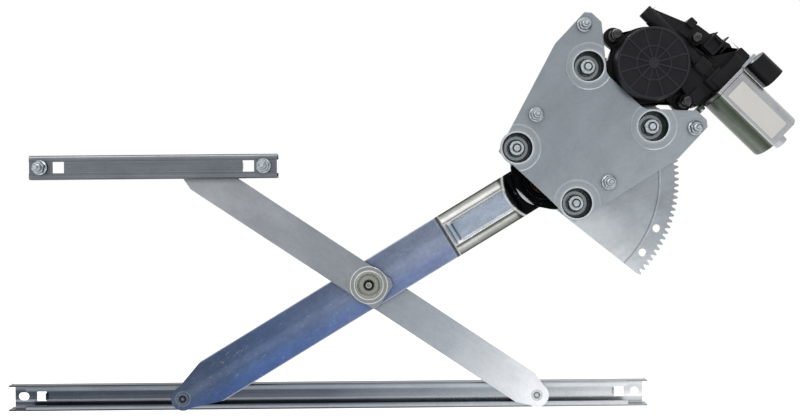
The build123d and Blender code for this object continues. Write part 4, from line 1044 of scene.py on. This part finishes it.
class REGULATOR_OT_motor(bpy.types.Operator):
    """Finishes the motor can and its yoke flange, and lays a bare film on the can"""

    bl_idname = "regulator.motor"
    bl_label = "Motor"

    def execute(self, context):
        drive = context.scene.regulator_drive
        metal = context.scene.regulator_sheet_metal
        low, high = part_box("motor_can")
        can = zinc_coat(
            "zinc_can",
            (drive.can, drive.can),
            (low, high),
            turn=CAN_GRAIN,
            roughness=0.32,
            cloud=0.16,
            lines=0.05,
            scratch=0.3,
            bands=((motor_frame().translation, motor_frame().col[1].to_3d(), CAN_SIDE_SHADING),),
        )
        rounded("motor_can", can, CAN_EDGE, segments=4)
        rounded("yoke_flange", can, metal.edge)
        middle = motor_frame().inverted() @ ((low + high) / 2)
        front = drive.can_flat
        mesh = bmesh.new()
        half_length, half_width = drive.patch_length / 2, drive.patch_width / 2
        corners = ((-1, -1), (1, -1), (1, 1), (-1, 1))
        start = middle.x + drive.patch_shift
        verts = [mesh.verts.new((start + i * half_length, j * half_width, front)) for i, j in corners]
        mesh.faces.new(verts)
        bmesh.ops.bevel(
            mesh,
            geom=verts,
            affect="VERTICES",
            offset=drive.patch_corner,
            offset_type="OFFSET",
            segments=5,
            profile=0.5,
            material=-1,
        )
        top = bmesh.ops.extrude_face_region(mesh, geom=mesh.faces[:])
        top_verts = [v for v in top["geom"] if isinstance(v, bmesh.types.BMVert)]
        bmesh.ops.translate(mesh, vec=(0, 0, drive.patch_wall), verts=top_verts)
        bmesh.ops.recalc_face_normals(mesh, faces=mesh.faces)
        bmesh.ops.transform(mesh, matrix=motor_frame(), verts=mesh.verts)
        film = bare_film("bare_film", drive.patch)
        finish_piece("can_film", mesh, film, body_of("motor_can"))
        return {"FINISHED"}


class REGULATOR_OT_connector(bpy.types.Operator):
    """Finishes the connector socket and its pins"""

    bl_idname = "regulator.connector"
    bl_label = "Connector"

    def execute(self, context):
        drive = context.scene.regulator_drive
        rounded("connector_socket", moulded_nylon("socket_nylon", drive.nylon, roughness=0.35), drive.edge)
        paint(["connector_pins"], grained_metal("tinned_brass", "A8A49A", "C8C4B8", 0.3, 0.002))
        return {"FINISHED"}


class REGULATOR_OT_rollers(bpy.types.Operator):
    """Finishes the three rollers"""

    bl_idname = "regulator.rollers"
    bl_label = "Rollers"

    def execute(self, context):
        nylon = natural_nylon("natural_nylon")
        for node in ("lift_roller", "lower_roller", "upper_roller"):
            rounded(node, nylon, ROLLER_EDGE)
        return {"FINISHED"}


class REGULATOR_OT_inner_drive(bpy.types.Operator):
    """Gives the gears, the armature and the other inner pieces their finish"""

    bl_idname = "regulator.inner_drive"
    bl_label = "Inner drive"

    def execute(self, context):
        steel = grained_metal("machined_steel", "8A8C90", "B4B6BA", 0.3, 0.0015)
        rounded("output_pinion", steel, TOOTH_EDGE)
        paint(["armature_shaft"], steel)
        paint(["worm_wheel"], natural_nylon("wheel_nylon"))
        paint(["armature_core"], grained_metal("core_laminations", "4A4A4E", "77777C", 0.4, 0.0006))
        paint(["commutator"], grained_metal("copper_bars", "8C4A30", "C07048", 0.3, 0.003))
        bronze = grained_metal("sintered_bronze", "8A6A38", "B08A50", 0.42, 0.0008)
        paint(["pivot_bush", "rear_bearing"], bronze)
        paint(["magnets"], grained_metal("ferrite", "232326", "38383C", 0.6, 0.0007, metallic=0.0))
        paint(["brushes"], grained_metal("pressed_carbon", "19191B", "2E2E31", 0.55, 0.0006, metallic=0.0))
        paint(["brush_holder"], moulded_nylon("holder_nylon", context.scene.regulator_drive.nylon))
        return {"FINISHED"}


def soft_lamp(name, middle, box, power):
    """A soft box that faces the part's middle."""
    (x, y, z), size = box
    place = Vector((middle.x + x, y, middle.z + z))
    data = bpy.data.lights.new(name, "AREA")
    data.shape = "RECTANGLE"
    data.size, data.size_y = size
    data.energy = power
    lamp = bpy.data.objects.new(name, data)
    lamp.location = place
    lamp.rotation_euler = (middle - place).to_track_quat("-Z", "Y").to_euler()
    bpy.context.scene.collection.objects.link(lamp)


def seen_share(tree):
    """1 for a ray that the camera sends or that gloss or glass sends on, and 0 for a ray of light."""
    rays = add_node(tree, "ShaderNodeLightPath").node.outputs
    seen = add_node(
        tree, "ShaderNodeMath", {0: rays["Is Camera Ray"], 1: rays["Is Glossy Ray"]}, operation="MAXIMUM"
    )
    return add_node(tree, "ShaderNodeMath", {0: seen, 1: rays["Is Transmission Ray"]}, operation="MAXIMUM")


def studio_floor(colour):
    """Matt pale floor that shows white to the camera and keeps the shadow of the part."""
    material, tree = new_material("studio_floor")
    grain = add_node(
        tree, "ShaderNodeTexNoise", {"Vector": object_place(tree), "Scale": 1 / 0.03, "Detail": 2.0}
    )
    tone = add_node(
        tree,
        "ShaderNodeMix",
        {0: grain, 6: opaque(colour), 7: opaque([0.97 * c for c in colour])},
        data_type="RGBA",
        output=2,
    )
    matt = add_node(tree, "ShaderNodeBsdfDiffuse", {"Color": tone})
    lift = add_node(tree, "ShaderNodeMath", {0: seen_share(tree), 1: FLOOR_GLOW}, operation="MULTIPLY")
    glow = add_node(tree, "ShaderNodeEmission", {"Color": (1, 1, 1, 1), "Strength": lift})
    both = add_node(tree, "ShaderNodeAddShader", {0: matt, 1: glow})
    add_node(tree, "ShaderNodeOutputMaterial", {"Surface": both})
    return material


def studio_world():
    """White to the camera; to the part a sky that is bright above and darker near the floor."""
    world = bpy.data.worlds.new("studio")
    world.use_nodes = True
    tree = world.node_tree
    tree.nodes.clear()
    way = add_node(tree, "ShaderNodeTexCoord", output="Generated")
    height = add_node(tree, "ShaderNodeSeparateXYZ", {0: way}, output="Z")
    light = add_node(
        tree,
        "ShaderNodeMapRange",
        {"Value": height, "From Min": -0.7, "From Max": 0.7, "To Min": 0.45, "To Max": 1.0},
        clamp=True,
    )
    strength = add_node(tree, "ShaderNodeMix", {0: seen_share(tree), 2: light, 3: 1.0}, data_type="FLOAT")
    sky = add_node(tree, "ShaderNodeBackground", {"Color": (1, 1, 1, 1), "Strength": strength})
    add_node(tree, "ShaderNodeOutputWorld", {"Surface": sky})
    return world


class REGULATOR_OT_stage(bpy.types.Operator):
    """Lays the floor, hangs the lamps and places the camera"""

    bl_idname = "regulator.stage"
    bl_label = "Stage"

    def execute(self, context):
        scene = context.scene
        stage = scene.regulator_stage
        low, high = (Vector(corner) for corner in cad_box)
        middle = (low + high) / 2
        mesh = bmesh.new()
        bmesh.ops.create_circle(mesh, cap_ends=True, radius=FLOOR_RADIUS, segments=96)
        bmesh.ops.translate(mesh, vec=(middle.x, middle.y, low.z - stage.floor_drop), verts=mesh.verts)
        data = bpy.data.meshes.new("studio_floor")
        mesh.to_mesh(data)
        mesh.free()
        data.materials.append(studio_floor(stage.floor))
        floor = bpy.data.objects.new("studio_floor", data)
        scene.collection.objects.link(floor)
        scene.world = studio_world()
        soft_lamp("top", middle, TOP_LAMP, stage.top_light)
        soft_lamp("key", middle, KEY_LAMP, stage.key_light)
        soft_lamp("rim", middle, RIM_LAMP, stage.rim_light)
        data = bpy.data.cameras.new("camera")
        data.lens = stage.lens
        data.sensor_width = SENSOR_WIDTH
        camera = bpy.data.objects.new("camera", data)
        camera.location = stage.eye
        camera.rotation_euler = (pi / 2, stage.roll, 0)
        scene.collection.objects.link(camera)
        scene.camera = camera
        scene.view_settings.view_transform = "Standard"
        return {"FINISHED"}


class REGULATOR_PT_panel(bpy.types.Panel):
    """Lists the steps that dress the regulator"""

    bl_label = "Window Regulator"
    bl_space_type = "VIEW_3D"
    bl_region_type = "UI"
    bl_category = "Regulator"

    def draw(self, context):
        for operator in OPERATORS:
            self.layout.operator(operator.bl_idname)


OPERATORS = (
    REGULATOR_OT_stage,
    REGULATOR_OT_plates,
    REGULATOR_OT_arms,
    REGULATOR_OT_sector,
    REGULATOR_OT_channels,
    REGULATOR_OT_fasteners,
    REGULATOR_OT_spring,
    REGULATOR_OT_gearbox,
    REGULATOR_OT_motor,
    REGULATOR_OT_connector,
    REGULATOR_OT_rollers,
    REGULATOR_OT_inner_drive,
)
GROUPS = {
    "regulator_sheet_metal": RegulatorSheetMetal,
    "regulator_fasteners": RegulatorFasteners,
    "regulator_drive": RegulatorDrive,
    "regulator_stage": RegulatorStage,
}


def register():
    """Registers the property groups, the operators and the panel."""
    for group in GROUPS.values():
        bpy.utils.register_class(group)
    for name, group in GROUPS.items():
        setattr(bpy.types.Scene, name, bpy.props.PointerProperty(type=group))
    for operator in OPERATORS:
        bpy.utils.register_class(operator)
    bpy.utils.register_class(REGULATOR_PT_panel)


def unregister():
    """Takes back what register does."""
    bpy.utils.unregister_class(REGULATOR_PT_panel)
    for operator in reversed(OPERATORS):
        bpy.utils.unregister_class(operator)
    for name, group in reversed(GROUPS.items()):
        delattr(bpy.types.Scene, name)
        bpy.utils.unregister_class(group)


def main():
    """Dresses the regulator."""
    register()
    for operator in OPERATORS:
        group, name = operator.bl_idname.split(".")
        getattr(getattr(bpy.ops, group), name)()


if __name__ == "__main__":
    main()
